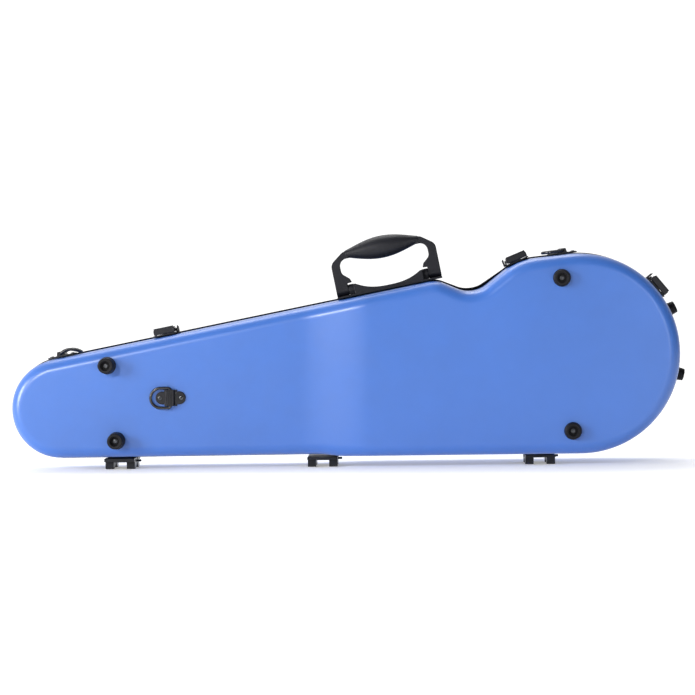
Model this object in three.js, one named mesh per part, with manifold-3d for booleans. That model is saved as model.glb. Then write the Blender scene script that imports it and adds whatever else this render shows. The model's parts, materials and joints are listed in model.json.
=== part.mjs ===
// Shaped violin case: a moulded shell and lid, hinged on one long side, with latches, a carrying
// handle, strap rings, stand-off feet and a fitted, padded interior.
//
// Frame, in millimetres: the case stands on the lugs of its hinges. +X points to the wide end, +Z to the
// handle side, and the back of the bottom shell faces -Y. While the case is built, the seam between the
// shells is the plane y = 0 and the surface that it stands on is z = 0. At the end the whole case is
// shifted so that its origin is the centre of the bottom of its bounding box.

import * as THREE from "three";
import { mergeVertices } from "three/addons/utils/BufferGeometryUtils.js";
import Module from "manifold-3d";

const wasm = await Module();
wasm.setup();

// ---------------------------------------------------------------- driving dimensions

// Corners of the shells' outline in x and z, each with its radius, clockwise seen from the back.
const CASE_CORNERS = [
  { x: -391, z: 13.5, radius: 59, steps: 7 }, // lower corner of the narrow end
  { x: -391, z: 122, radius: 59, steps: 7 }, // upper corner of the narrow end
  { x: 110, z: 218.7, radius: 30, steps: 3 }, // crest before the waist
  { x: 153, z: 200.2, radius: 33, steps: 5 }, // bottom of the waist
  { x: 204.5, z: 240.4, radius: 70, steps: 3 }, // shoulder
  { x: 392.8, z: 260.9, radius: 117.6, steps: 12 }, // upper half of the wide end
  { x: 392.8, z: 12.2, radius: 117.6, steps: 12 }, // lower half of the wide end
  { x: -4, z: 12.2, radius: 60, steps: 1 }, // where the lower edge steps
  { x: -27, z: 14.8, radius: 60, steps: 1 },
];
const [NARROW_LOW, NARROW_TOP, CREST, WAIST, SHOULDER, WIDE_TOP, , STEP_END, STEP_START] = CASE_CORNERS;
const angleBetween = (from, to) => Math.atan2(to.z - from.z, to.x - from.x);
const TOP_EDGE_ANGLE = angleBetween(NARROW_TOP, CREST);
const WAIST_RISE_ANGLE = angleBetween(WAIST, SHOULDER);
const BODY_EDGE_ANGLE = angleBetween(SHOULDER, WIDE_TOP);
const WIDE_END = { x: 275.2, z: 129.8, radius: WIDE_TOP.radius };

const WALL = 2.8;
const GAP = 0.3; // clearance between touching pieces
const RAMP_START = -50; // the shells deepen between these two places
const RAMP_END = 28;
const RAMP_STEPS = 5;

// Each shell's depth from the seam at the neck and at the body, its draft and its edge radius.
const BOTTOM = { side: -1, neck: 50, body: 60, draft: 1.5, round: 14, roundSteps: 4 };
const LID = { side: 1, neck: 62, body: 84, draft: 2, round: 22, roundSteps: 4 };
const SHELL_EDGE = 2; // distance of a shell's edge from the seam, inside its rim channel

const RIM = { proud: 0.8, inner: 5, reach: 7, seam: 0.4, web: 1.3, lip: 1.5 };
const LINER_EDGE = 7.5; // the padding stops this far from the seam
const LINER_OFFSET = WALL + 0.5; // outer face of the padding, measured in from the shell's outer face
const LID_PADDING = 8;

// The instrument's bed: its axis leans to the case's lower side towards the scroll.
const BED = { endX: 379, endZ: 137, lean: THREE.MathUtils.degToRad(5.1), floor: 45, neckFloor: 34 };
const BED_CORNERS = [
  { x: 0, z: -106, radius: 98, steps: 6 },
  { x: 0, z: 106, radius: 98, steps: 6 },
  { x: -158, z: 106, radius: 50, steps: 3 },
  { x: -190, z: 68, radius: 36, steps: 3 },
  { x: -236, z: 68, radius: 36, steps: 3 },
  { x: -268, z: 86, radius: 40, steps: 3 },
  { x: -362, z: 86, radius: 66, steps: 5 },
  { x: -362, z: -86, radius: 66, steps: 5 },
  { x: -268, z: -86, radius: 40, steps: 3 },
  { x: -236, z: -68, radius: 36, steps: 3 },
  { x: -190, z: -68, radius: 36, steps: 3 },
  { x: -158, z: -106, radius: 50, steps: 3 },
];
const NECK_SLOT = { near: -340, far: -606, halfWidth: 31 };
const SCROLL_POCKET = { near: -500, far: -606, halfWidth: 37 };
const COMPARTMENT_CORNERS = [
  { x: -374, z: 36, radius: 36, steps: 4 },
  { x: -374, z: 112, radius: 36, steps: 4 },
  { x: -244, z: 137, radius: 6, steps: 2 },
  { x: -244, z: 28, radius: 6, steps: 2 },
];
const COMPARTMENT = { floor: 40, coverOverlap: 2, coverThickness: 3 };
const NECK_REST = { x: -30, width: 30, halfWidth: 30.4, top: 24, saddle: 16, saddleDepth: 9 };
const STRAP = { width: 26, thickness: 2, halfSpan: 44, rise: 14 };

const HINGE_CENTRES = [-265.5, -26.4, 229.4];
const HINGE = {
  axisZ: 8.7,
  barrel: 2.4,
  pin: 1.4,
  pinStub: 5,
  halfLength: 17.7,
  lugWidth: 10,
  lugOuter: 22,
  leafReach: 30,
  stopAngle: THREE.MathUtils.degToRad(51),
};

const LATCH = {
  neckX: -209, // on the sloping top edge; the second latch is on the shoulder's arc
  wideAngle: THREE.MathUtils.degToRad(39.4), // on the wide end's arc, from the middle line
  halfWidth: 13.5,
  baseNear: -7.6,
  baseFar: -32,
  baseThickness: 1.5,
  pivotY: -11,
  pivotZ: 4.6,
  bailPivotY: -16,
  pinRadius: 1,
  earThickness: 1.4,
  earHeight: 6.6,
  hornHeight: 9.5,
  hornReach: 3.2,
  coverLow: 6.8,
  coverTop: 8.9,
  cheekThickness: 1.5,
  armThickness: 1.6,
  armReach: 9.5, // outer face of each arm, from the middle of the latch
  bailGrip: 2.2, // the cheeks and arms reach this far past their pins
  barY: 11,
  barLow: 2.4,
  barTop: 4.2,
  keeperHalf: 7.5,
};

const HANDLE = {
  x: 55.9,
  halfLength: 62.5,
  legWidth: 14.7, // at the hinge
  armWidth: 9, // above the knee, where each leg narrows
  kneeLow: 18,
  kneeTop: 26,
  pivotHeight: 9,
  hubRadius: 6, // the legs end in round hubs as deep as the legs
  y: -22,
  baseDepth: 27,
  towerHeight: 15,
  gripHeight: 50.6,
  gripHalf: 45,
  gripRadius: 13.2,
  barHeight: 6,
  barDepth: 8,
  pinRadius: 2,
  gripEndRadius: 5.4,
  basePlate: 2.6,
  towerWidth: 6.3,
};

const RING = { wire: 1.75, halfBar: 11.5, reach: 23, axisHeight: 4, bridge: 6.9, lobe: 7.6 };
const STRAP_RINGS = [
  { name: "back", x: -201.4, z: 84.6, direction: -1, rise: 0 }, // on the back of the neck
  { name: "neck", x: -331.7, direction: 1, rise: 4 }, // on the sloping top edge
  { name: "body", x: 258, direction: -1, rise: 0 }, // on the upper edge of the wide end
];
const SIDE_RING_Y = -20;
const FOOT_TIP = 68; // the back feet end in one plane, this far from the seam
const BACK_FEET = [
  { name: "foot_neck_upper", x: -275, z: 123.2 },
  { name: "foot_neck_lower", x: -265.4, z: 35.4 },
  { name: "foot_body_upper", x: 254.4, z: 217.9 },
  { name: "foot_body_lower", x: 265.2, z: 40.9 },
];
const END_FEET = [
  { name: "end_foot_upper", angle: THREE.MathUtils.degToRad(25) },
  { name: "end_foot_lower", angle: THREE.MathUtils.degToRad(-12.3) },
];
const BACK_FOOT = { radius: 11, tip: 9.6, hole: 5.2, recess: 6, screw: 4.6 };
const END_FOOT = { radius: 8, tip: 7, height: 9, sunk: 0.5, hole: 3.6, recess: 4, screw: 3.1, y: -20 };
const BOW_HOLDER = { halfLength: 14, depth: 12, halfHeight: 13, groove: 5, grooveZ: -5 };
const BOW_TOGGLE = { halfWidth: 4.5, thickness: 4, pivotZ: 7, tipZ: -14 };
const TIP_POCKET = { halfLength: 18, depth: 13, halfHeight: 12, cloth: 2, end: 3 };
const BOW_HOLDERS = [
  { name: "upper", x: 262, z: 168 },
  { name: "lower", x: 262, z: 92 },
];
const TIP_POCKETS = [
  { name: "upper", x: -322, z: 88 },
  { name: "lower", x: -322, z: 56 },
];

// ---------------------------------------------------------------- materials

const material = (color, roughness, metalness) =>
  new THREE.MeshStandardMaterial({ color, roughness, metalness });
const SHELL_BLUE = material(0x5a86de, 0.42, 0);
const RIM_BLACK = material(0x1a1b1f, 0.6, 0);
const BLACK_METAL = material(0x1e1f24, 0.4, 0.6);
const BLACK_PLASTIC = material(0x1b1c20, 0.5, 0);
const SOFT_GRIP = material(0x222328, 0.75, 0);
const RUBBER = material(0x17181a, 0.85, 0);
const STEEL = material(0x3a3c42, 0.35, 0.9);
const PLUSH = material(0x2b2f3a, 0.95, 0);
const WEBBING = material(0x1c1d22, 0.9, 0);

// ---------------------------------------------------------------- solids and booleans

function toSolid(geometry) {
  const faces = geometry.index ? geometry.toNonIndexed() : geometry;
  const plain = new THREE.BufferGeometry();
  plain.setAttribute("position", faces.getAttribute("position").clone());
  const merged = mergeVertices(plain, 1e-4);
  const vertProperties = merged.attributes.position.array;
  const triVerts = new Uint32Array(merged.index.array);
  return new wasm.Manifold(new wasm.Mesh({ numProp: 3, vertProperties, triVerts }));
}

function toGeometry(solid) {
  const mesh = solid.getMesh();
  const geometry = new THREE.BufferGeometry();
  geometry.setAttribute("position", new THREE.BufferAttribute(mesh.vertProperties, 3));
  geometry.setIndex(new THREE.BufferAttribute(mesh.triVerts, 1));
  return geometry;
}

function join(first, ...others) {
  return toGeometry(others.reduce((solid, next) => solid.add(toSolid(next)), toSolid(first)));
}

function cut(first, ...tools) {
  return toGeometry(tools.reduce((solid, tool) => solid.subtract(toSolid(tool)), toSolid(first)));
}

function block(x0, x1, y0, y1, z0, z1) {
  const geometry = new THREE.BoxGeometry(x1 - x0, y1 - y0, z1 - z0);
  return geometry.translate((x0 + x1) / 2, (y0 + y1) / 2, (z0 + z1) / 2);
}

// A round bar along X, Y or Z, from one coordinate to another, through the point given by the other two.
function bar(axis, from, to, radius, across, up, sides = 12) {
  const geometry = new THREE.CylinderGeometry(radius, radius, to - from, sides);
  const middle = (from + to) / 2;
  if (axis === "x") return geometry.rotateZ(Math.PI / 2).translate(middle, across, up);
  if (axis === "y") return geometry.translate(across, middle, up);
  return geometry.rotateX(Math.PI / 2).translate(across, up, middle);
}

// A flat profile of [across, up] points, pushed along the third axis: X for a profile in y and z,
// or Y for a profile in x and z.
function prism(axis, points, from, to) {
  const shape = new THREE.Shape(points.map(([across, up]) => new THREE.Vector2(across, up)));
  const geometry = new THREE.ExtrudeGeometry(shape, { depth: to - from, bevelEnabled: false });
  if (axis === "x") {
    const turn = new THREE.Matrix4().makeBasis(
      new THREE.Vector3(0, 1, 0),
      new THREE.Vector3(0, 0, 1),
      new THREE.Vector3(1, 0, 0),
    );
    return geometry.applyMatrix4(turn).translate(from, 0, 0);
  }
  return geometry.rotateX(Math.PI / 2).translate(0, to, 0);
}

// A closed wire of round section along a ring of points that lies across Z or nearly so.
function wireLoop(points, radius, sides = 8) {
  const up = new THREE.Vector3(0, 0, 1);
  const positions = [];
  const index = [];
  points.forEach((point, i) => {
    const before = points[(i + points.length - 1) % points.length];
    const after = points[(i + 1) % points.length];
    const along = after.clone().sub(before).normalize();
    const out = new THREE.Vector3().crossVectors(along, up).normalize();
    const over = new THREE.Vector3().crossVectors(out, along);
    for (let k = 0; k < sides; k++) {
      const turn = (2 * Math.PI * (k + 0.5)) / sides;
      const place = point.clone().addScaledVector(out, radius * Math.cos(turn));
      place.addScaledVector(over, radius * Math.sin(turn));
      positions.push(place.x, place.y, place.z);
    }
  });
  for (let i = 0; i < points.length; i++) {
    const next = (i + 1) % points.length;
    for (let k = 0; k < sides; k++) {
      const m = (k + 1) % sides;
      addQuad(index, i * sides + k, next * sides + k, next * sides + m, i * sides + m);
    }
  }
  return facingOut(positions, index);
}

function addQuad(index, a, b, c, d) {
  index.push(a, b, c, a, c, d);
}

// A closed mesh from its points and triangles, turned inside out if its faces point inwards.
function facingOut(positions, index) {
  const corner = (i) => new THREE.Vector3().fromArray(positions, 3 * index[i]);
  let volume = 0;
  for (let i = 0; i < index.length; i += 3) {
    volume += corner(i).dot(corner(i + 1).cross(corner(i + 2)));
  }
  if (volume < 0) index.reverse();
  const geometry = new THREE.BufferGeometry();
  geometry.setAttribute("position", new THREE.Float32BufferAttribute(positions, 3));
  geometry.setIndex(index);
  return geometry;
}

// ---------------------------------------------------------------- outlines and trays

// The points of a polygon with rounded corners, each with its outward direction. Long straight sides
// also get a point at each station.
function roundedOutline(corners, stations = []) {
  const points = [];
  corners.forEach((corner, i) => {
    const before = corners[(i + corners.length - 1) % corners.length];
    const after = corners[(i + 1) % corners.length];
    const here = new THREE.Vector2(corner.x, corner.z);
    const inward = here.clone().sub(new THREE.Vector2(before.x, before.z)).normalize();
    const onward = new THREE.Vector2(after.x, after.z).sub(here).normalize();
    const turn = Math.atan2(inward.cross(onward), inward.dot(onward));
    const run = corner.radius * Math.tan(Math.abs(turn) / 2);
    const start = here.clone().addScaledVector(inward, -run);
    const outAtStart = new THREE.Vector2(-inward.y, inward.x);
    const centre = start.clone().addScaledVector(outAtStart, Math.sign(turn) * corner.radius);
    for (let k = 0; k <= corner.steps; k++) {
      const out = outAtStart.clone().rotateAround(new THREE.Vector2(), (turn * k) / corner.steps);
      const place = centre.clone().addScaledVector(out, -Math.sign(turn) * corner.radius);
      points.push({ x: place.x, z: place.y, outX: out.x, outZ: out.y });
    }
    const last = points[points.length - 1];
    const nextTurn = tangentStart(corners, (i + 1) % corners.length);
    const between = stations.filter((x) => (x - last.x) * (nextTurn.x - x) > 0);
    between.sort((a, b) => (a - b) * Math.sign(nextTurn.x - last.x));
    between.forEach((x) => {
      const share = (x - last.x) / (nextTurn.x - last.x);
      const z = last.z + share * (nextTurn.z - last.z);
      points.push({ x, z, outX: last.outX, outZ: last.outZ });
    });
  });
  return points;
}

// Where the rounding of a corner begins on the side that leads to it.
function tangentStart(corners, i) {
  const before = corners[(i + corners.length - 1) % corners.length];
  const corner = corners[i];
  const after = corners[(i + 1) % corners.length];
  const inward = new THREE.Vector2(corner.x - before.x, corner.z - before.z).normalize();
  const onward = new THREE.Vector2(after.x - corner.x, after.z - corner.z).normalize();
  const run = corner.radius * Math.tan(Math.acos(inward.dot(onward)) / 2);
  return { x: corner.x - inward.x * run, z: corner.z - inward.y * run };
}

// Triangles across an outline from its left end to its right end, in upright strips.
function stripTriangles(outline) {
  const count = outline.length;
  const xs = outline.map((point) => point.x);
  const left = xs.indexOf(Math.min(...xs));
  const right = xs.indexOf(Math.max(...xs));
  const triangles = [];
  let upper = left;
  let lower = left;
  while (upper !== right || lower !== right) {
    const nextUpper = (upper + 1) % count;
    const nextLower = (lower + count - 1) % count;
    if (upper !== right && (lower === right || xs[nextUpper] <= xs[nextLower])) {
      triangles.push([upper, nextUpper, lower]);
      upper = nextUpper;
    } else {
      triangles.push([upper, nextLower, lower]);
      lower = nextLower;
    }
  }
  return triangles.filter(([a, b, c]) => a !== b && b !== c && a !== c);
}

// A closed solid from a stack of rings that all follow one outline. Each ring has its inset from the
// outline and its depth as a function of x. The first and last rings are closed with flat strips.
function stack(outline, rings) {
  const count = outline.length;
  const positions = [];
  rings.forEach((ring) => {
    outline.forEach((point) => {
      const x = point.x - point.outX * ring.inset;
      positions.push(x, ring.depth(x), point.z - point.outZ * ring.inset);
    });
  });
  const index = [];
  const strips = stripTriangles(outline);
  const top = (rings.length - 1) * count;
  strips.forEach(([a, b, c]) => index.push(a, b, c));
  strips.forEach(([a, b, c]) => index.push(top + a, top + c, top + b));
  for (let r = 0; r + 1 < rings.length; r++) {
    sideFaces(index, count, r * count, (r + 1) * count);
  }
  return facingOut(positions, index);
}

// A closed band that follows the outline, with the given section of [inset, depth] points.
function band(outline, section) {
  const count = outline.length;
  const positions = [];
  section.forEach(([inset, depth]) => {
    outline.forEach((point) => {
      positions.push(point.x - point.outX * inset, depth, point.z - point.outZ * inset);
    });
  });
  const index = [];
  section.forEach((_, r) => {
    sideFaces(index, count, r * count, ((r + 1) % section.length) * count);
  });
  return facingOut(positions, index);
}

function sideFaces(index, count, from, to) {
  for (let i = 0; i < count; i++) {
    const next = (i + 1) % count;
    addQuad(index, from + i, to + i, to + next, from + next);
  }
}

// How deep a shell is at x: constant at the neck and the body, with a smooth ramp between.
function depthAt(shell, x) {
  const share = THREE.MathUtils.smoothstep(x, RAMP_START, RAMP_END);
  return shell.neck + (shell.body - shell.neck) * share;
}

// The rings of a shell's surface, moved in from its outer face by an offset, from the seam to the face.
function skin(shell, offset, edge, steps) {
  const rings = [{ inset: offset, depth: () => shell.side * edge }];
  const round = shell.round - offset;
  for (let k = 0; k <= steps; k++) {
    const turn = ((Math.PI / 2) * k) / steps;
    const inset = shell.draft + offset + round * (1 - Math.cos(turn));
    const back = shell.round - round * Math.sin(turn);
    rings.push({ inset, depth: (x) => shell.side * (depthAt(shell, x) - back) });
  }
  return rings;
}

const rampStations = Array.from(
  { length: RAMP_STEPS + 1 },
  (_, i) => RAMP_START + ((RAMP_END - RAMP_START) * i) / RAMP_STEPS,
);
const caseOutline = roundedOutline(CASE_CORNERS, [-260, -170, -100, ...rampStations, 80]);

// ---------------------------------------------------------------- the assembly's groups

const group = new THREE.Group();
const violinCase = new THREE.Group();
group.add(violinCase);

function place(name, geometry, finish, parent = violinCase) {
  const mesh = new THREE.Mesh(geometry, finish);
  mesh.name = name;
  parent.add(mesh);
}

// A group on the side wall: its X runs along the edge, its Z points out of the wall.
function onEdge(x, z, angle, y = 0) {
  const spot = new THREE.Group();
  spot.position.set(x, y, z);
  spot.rotation.y = -angle;
  violinCase.add(spot);
  return spot;
}

// A group on the back: its Y points up and its Z out of the back, at a distance from the seam.
function onBack(x, z, depth) {
  const spot = new THREE.Group();
  spot.position.set(x, -depth, z);
  spot.rotation.x = Math.PI / 2;
  violinCase.add(spot);
  return spot;
}

// The height of the sloping top edge at x.
const topEdgeAt = (x) => NARROW_TOP.z + (x - NARROW_TOP.x) * Math.tan(TOP_EDGE_ANGLE);

// ---------------------------------------------------------------- shells, rims and padding

function addShell(name, shell) {
  const outer = skin(shell, 0, SHELL_EDGE, shell.roundSteps).reverse();
  const inner = skin(shell, WALL, SHELL_EDGE, 2);
  place(name, stack(caseOutline, [...outer, ...inner]), SHELL_BLUE);
}

// A rim is a channel that hugs the shell's edge and meets the other shell's rim at the seam.
function addRim(name, shell) {
  const outside = [-RIM.proud, -GAP];
  const inside = [RIM.inner - RIM.lip, RIM.inner];
  const section = [
    [outside[0], RIM.reach],
    [outside[0], RIM.seam],
    [inside[1], RIM.seam],
    [inside[1], RIM.reach],
    [inside[0], RIM.reach],
    [inside[0], RIM.seam + RIM.web],
    [outside[1], RIM.seam + RIM.web],
    [outside[1], RIM.reach],
  ];
  place(name, band(caseOutline, section.map(([a, b]) => [a, shell.side * b])), RIM_BLACK);
}

// Turns an outline in the bed's own frame, along the instrument's axis, to the case's frame.
function bedPoint(along, across) {
  const cos = Math.cos(BED.lean);
  const sin = Math.sin(BED.lean);
  return [BED.endX + along * cos - across * sin, BED.endZ + along * sin + across * cos];
}

function bedPrism(outline, floor) {
  return prism("y", outline.map((point) => bedPoint(point.x, point.z)), -floor, 0);
}

function slotPrism(slot, floor) {
  const corners = [
    [slot.near, -slot.halfWidth],
    [slot.near, slot.halfWidth],
    [slot.far, slot.halfWidth],
    [slot.far, -slot.halfWidth],
  ];
  return prism("y", corners.map(([along, across]) => bedPoint(along, across)), -floor, 0);
}

function addBottomLiner() {
  const outer = skin(BOTTOM, LINER_OFFSET, LINER_EDGE, 2).reverse();
  const foam = stack(caseOutline, outer);
  const bed = bedPrism(roundedOutline(BED_CORNERS), BED.floor);
  const neck = slotPrism(NECK_SLOT, BED.neckFloor);
  const scroll = slotPrism(SCROLL_POCKET, BED.neckFloor);
  const pocketOutline = roundedOutline(COMPARTMENT_CORNERS).map((point) => [point.x, point.z]);
  const pocket = prism("y", pocketOutline, -COMPARTMENT.floor, 0);
  place("bottom_liner", cut(foam, bed, neck, scroll, pocket), PLUSH);
}

function addLidLiner() {
  const outer = skin(LID, LINER_OFFSET, LINER_EDGE, 2).reverse();
  const inner = skin(LID, LINER_OFFSET + LID_PADDING, LINER_EDGE, 2);
  place("lid_liner", stack(caseOutline, [...outer, ...inner]), PLUSH);
}

// A shaped cushion in the neck's slot, with a saddle that the neck lies in.
function addNeckRest() {
  const spot = onBedAxis(NECK_REST.x);
  const base = -BED.neckFloor + GAP;
  const half = NECK_REST.halfWidth;
  const saddle = NECK_REST.saddle;
  const profile = [
    [base, -half],
    [base, half],
    [-NECK_REST.top + NECK_REST.saddleDepth, half],
    [-NECK_REST.top + NECK_REST.saddleDepth, saddle],
    [-NECK_REST.top, saddle / 2],
    [-NECK_REST.top, -saddle / 2],
    [-NECK_REST.top + NECK_REST.saddleDepth, -saddle],
    [-NECK_REST.top + NECK_REST.saddleDepth, -half],
  ];
  const width = NECK_REST.width;
  place("neck_rest", prism("x", profile, -width / 2, width / 2), PLUSH, spot);
}

// A group on the instrument's axis, turned with it: its X runs along the axis towards the wide end.
function onBedAxis(x) {
  const along = (x - BED.endX) / Math.cos(BED.lean);
  const [, z] = bedPoint(along, 0);
  return onEdge(x, z, BED.lean);
}

// The strap arches over the neck, with a flat tail on the padding at each side.
function addNeckStrap() {
  const spot = onBedAxis(NECK_REST.x);
  const low = -LINER_EDGE + GAP;
  const steps = 8;
  const under = [];
  const over = [];
  for (let k = 0; k <= steps; k++) {
    const across = -STRAP.halfSpan + (2 * STRAP.halfSpan * k) / steps;
    const lift = STRAP.rise * Math.max(0, Math.cos((across / (STRAP.halfSpan - 8)) * (Math.PI / 2)));
    under.push([low + lift, across]);
    over.unshift([low + lift + STRAP.thickness, across]);
  }
  const half = STRAP.width / 2;
  place("neck_strap", prism("x", [...under, ...over], -half, half), WEBBING, spot);
}

// The cover lies on the padding over the accessory compartment and is hinged along its upper side.
function addCompartmentCover() {
  const outline = roundedOutline(COMPARTMENT_CORNERS);
  const grown = outline.map((point) => [
    point.x + point.outX * COMPARTMENT.coverOverlap,
    point.z + point.outZ * COMPARTMENT.coverOverlap,
  ]);
  const low = -LINER_EDGE + GAP;
  place("compartment_cover", prism("y", grown, low, low + COMPARTMENT.coverThickness), PLUSH);
}

// ---------------------------------------------------------------- hinges

// Height of the shells' lower edge at x: it rises a little to the step, and is level after it.
function lowerEdgeAt(x) {
  const slope = (from, to) => (to.z - from.z) / (to.x - from.x);
  if (x < STEP_START.x) return STEP_START.z + (x - STEP_START.x) * slope(NARROW_LOW, STEP_START);
  return STEP_START.z + (Math.min(x, STEP_END.x) - STEP_START.x) * slope(STEP_START, STEP_END);
}

// One leaf: a plate under its shell, knuckles round the pin and two lugs that the case stands on. The
// lugs' inner faces slope from the pin, so that the two leaves' lugs meet when the lid is fully open.
function hingeLeaf(x, side) {
  const half = HINGE.halfLength;
  const shellZ = Math.min(lowerEdgeAt(x - half), lowerEdgeAt(x + half));
  const near = HINGE.barrel + 1.2;
  const nearZ = HINGE.axisZ - near / Math.tan(HINGE.stopAngle);
  const plateLow = HINGE.axisZ + 0.2;
  const lugTop = plateLow + 0.7;
  const lugProfile = [
    [near, nearZ],
    [HINGE.axisZ * Math.tan(HINGE.stopAngle), 0],
    [HINGE.lugOuter - 1.5, 0],
    [HINGE.lugOuter, 1.5],
    [HINGE.lugOuter, lugTop],
    [near + 0.4, lugTop],
  ].map(([y, z]) => [side * y, z]);
  const [plateFrom, plateTo] = [side * near, side * HINGE.leafReach].sort((a, b) => a - b);
  const plate = block(x - half, x + half, plateFrom, plateTo, plateLow, shellZ - RIM.proud - GAP);
  const lugInside = half - HINGE.lugWidth;
  const inset = 0.25;
  const lugs = [
    prism("x", lugProfile, x - half + inset, x - lugInside),
    prism("x", lugProfile, x + lugInside, x + half - inset),
  ];
  const outerKnuckles = [
    [-half + inset, -lugInside - inset],
    [lugInside + inset, half - inset],
  ];
  const middleKnuckle = [[-lugInside + inset, lugInside - inset]];
  const knuckles = (side < 0 ? outerKnuckles : middleKnuckle).flatMap(([from, to]) => {
    const [webFrom, webTo] = [0, side * (near + 1)].sort((a, b) => a - b);
    const webTop = HINGE.axisZ + 0.75 * HINGE.barrel;
    return [
      bar("x", x + from, x + to, HINGE.barrel, 0, HINGE.axisZ),
      block(x + from + 0.1, x + to - 0.1, webFrom, webTo, plateLow + 0.1, webTop),
    ];
  });
  const hole = bar("x", x - half - 1, x + half + 1, HINGE.pin + GAP, 0, HINGE.axisZ);
  return cut(join(plate, ...lugs, ...knuckles), hole);
}

function addHinges() {
  HINGE_CENTRES.forEach((x, i) => {
    const from = x - HINGE.halfLength - 1;
    const to = x + HINGE.halfLength + HINGE.pinStub;
    place(`hinge_leaf_back_${i + 1}`, hingeLeaf(x, -1), BLACK_METAL);
    place(`hinge_leaf_lid_${i + 1}`, hingeLeaf(x, 1), BLACK_METAL);
    place(`hinge_pin_${i + 1}`, bar("x", from, to, HINGE.pin, 0, HINGE.axisZ), STEEL);
  });
}

// ---------------------------------------------------------------- latches

// Base on the bottom shell: a plate, two ears that hold the lever and an upturned horn at one end.
function latchBase(hornSide) {
  const { halfWidth: half, earThickness, earHeight, hornHeight, hornReach, pivotY, pivotZ } = LATCH;
  const top = GAP + LATCH.baseThickness;
  const plate = block(-half, half, LATCH.baseFar, LATCH.baseNear, GAP, top);
  const ear = (from, to) => block(from, to, pivotY - 3, pivotY + 3, GAP, earHeight);
  const hornProfile = [
    [half - 0.5, GAP],
    [half + hornReach, GAP],
    [half + hornReach, hornHeight - 2],
    [half + hornReach - 1.4, hornHeight],
    [half + hornReach - 2, hornHeight - 2],
    [half + hornReach - 2, 3],
    [half - 0.5, top],
  ].map(([x, z]) => [hornSide * x, z]);
  const horn = prism("y", hornProfile, pivotY - 12, pivotY - 5);
  const hole = bar("x", -half - 1, half + 1, LATCH.pinRadius + GAP, pivotY, pivotZ, 10);
  return cut(join(plate, ear(-half, -half + earThickness), ear(half - earThickness, half), horn), hole);
}

// Lever: a slotted cover plate with a lifted end, two cheeks, its pivot pin and the bail's pin.
function latchLever() {
  const { baseFar, pivotY, pivotZ, bailPivotY, pinRadius, coverLow, coverTop, bailGrip } = LATCH;
  const { armReach, armThickness } = LATCH;
  const half = LATCH.halfWidth - LATCH.earThickness - 0.4;
  const cheek = LATCH.cheekThickness;
  const profile = [
    [baseFar - 1.5, coverTop - 0.5],
    [baseFar + 2, coverLow],
    [pivotY + 0.5, coverLow],
    [pivotY + 0.5, coverTop - 0.7],
    [pivotY - 0.4, coverTop],
    [baseFar + 3, coverTop],
    [baseFar - 1.5, coverTop + 1],
  ];
  const cheekProfile = [
    [bailPivotY - bailGrip, 3],
    [pivotY + bailGrip, 3],
    [pivotY + bailGrip, coverLow + 0.7],
    [bailPivotY - bailGrip, coverLow + 0.7],
  ];
  const ends = LATCH.halfWidth - 0.1;
  // The bail's arms swing up through two slots in the cover's near end.
  const slot = (side) => {
    const x = [side * (armReach - armThickness - GAP), side * (armReach + GAP)].sort((a, b) => a - b);
    return block(x[0], x[1], bailPivotY - bailGrip, pivotY + 1, coverLow - 1, coverTop + 1);
  };
  return join(
    cut(prism("x", profile, -half, half), slot(-1), slot(1)),
    prism("x", cheekProfile, -half, -half + cheek),
    prism("x", cheekProfile, half - cheek, half),
    bar("x", -ends, -half + cheek - 0.1, pinRadius, pivotY, pivotZ, 10),
    bar("x", half - cheek + 0.1, ends, pinRadius, pivotY, pivotZ, 10),
    bar("x", -half, half, pinRadius, bailPivotY, pivotZ, 10),
  );
}

// Bail: two arms from the lever's pin to a bar behind the keeper's post.
function latchBail() {
  const { bailPivotY, pivotY, pivotZ, bailGrip, barY, barLow, barTop, armThickness } = LATCH;
  const reach = LATCH.armReach;
  const eyeTop = pivotZ + 1.9;
  const armProfile = [
    [bailPivotY - bailGrip, pivotZ - 1.6],
    [bailPivotY + bailGrip + 0.2, barLow],
    [barY + 1.2, barLow],
    [barY + 1.2, barTop],
    [pivotY + 4.2, barTop],
    [bailPivotY + bailGrip, pivotZ - 1.1],
    [bailPivotY + 1.4, eyeTop],
    [bailPivotY - bailGrip, eyeTop],
  ];
  const arms = [
    prism("x", armProfile, -reach, -reach + armThickness),
    prism("x", armProfile, reach - armThickness, reach),
  ];
  const cross = block(-reach, reach, barY - 1, barY + 1.2, barLow, barTop);
  const hole = bar("x", -reach - 1, reach + 1, LATCH.pinRadius + GAP, bailPivotY, pivotZ, 10);
  return cut(join(cross, ...arms), hole);
}

// Keeper on the lid: a plate with a post in front of the bail's bar.
function latchKeeper() {
  const half = LATCH.keeperHalf;
  const postFar = LATCH.barY - 1.5;
  const plate = block(-half, half, RIM.reach + 0.6, 24, GAP, 2);
  const postProfile = [
    [6.4, 1.3],
    [postFar, 1.3],
    [postFar, 6.2],
    [7.6, 6.2],
    [6.4, 4.6],
  ];
  return join(plate, prism("x", postProfile, -half + 1, half - 1));
}

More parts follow.
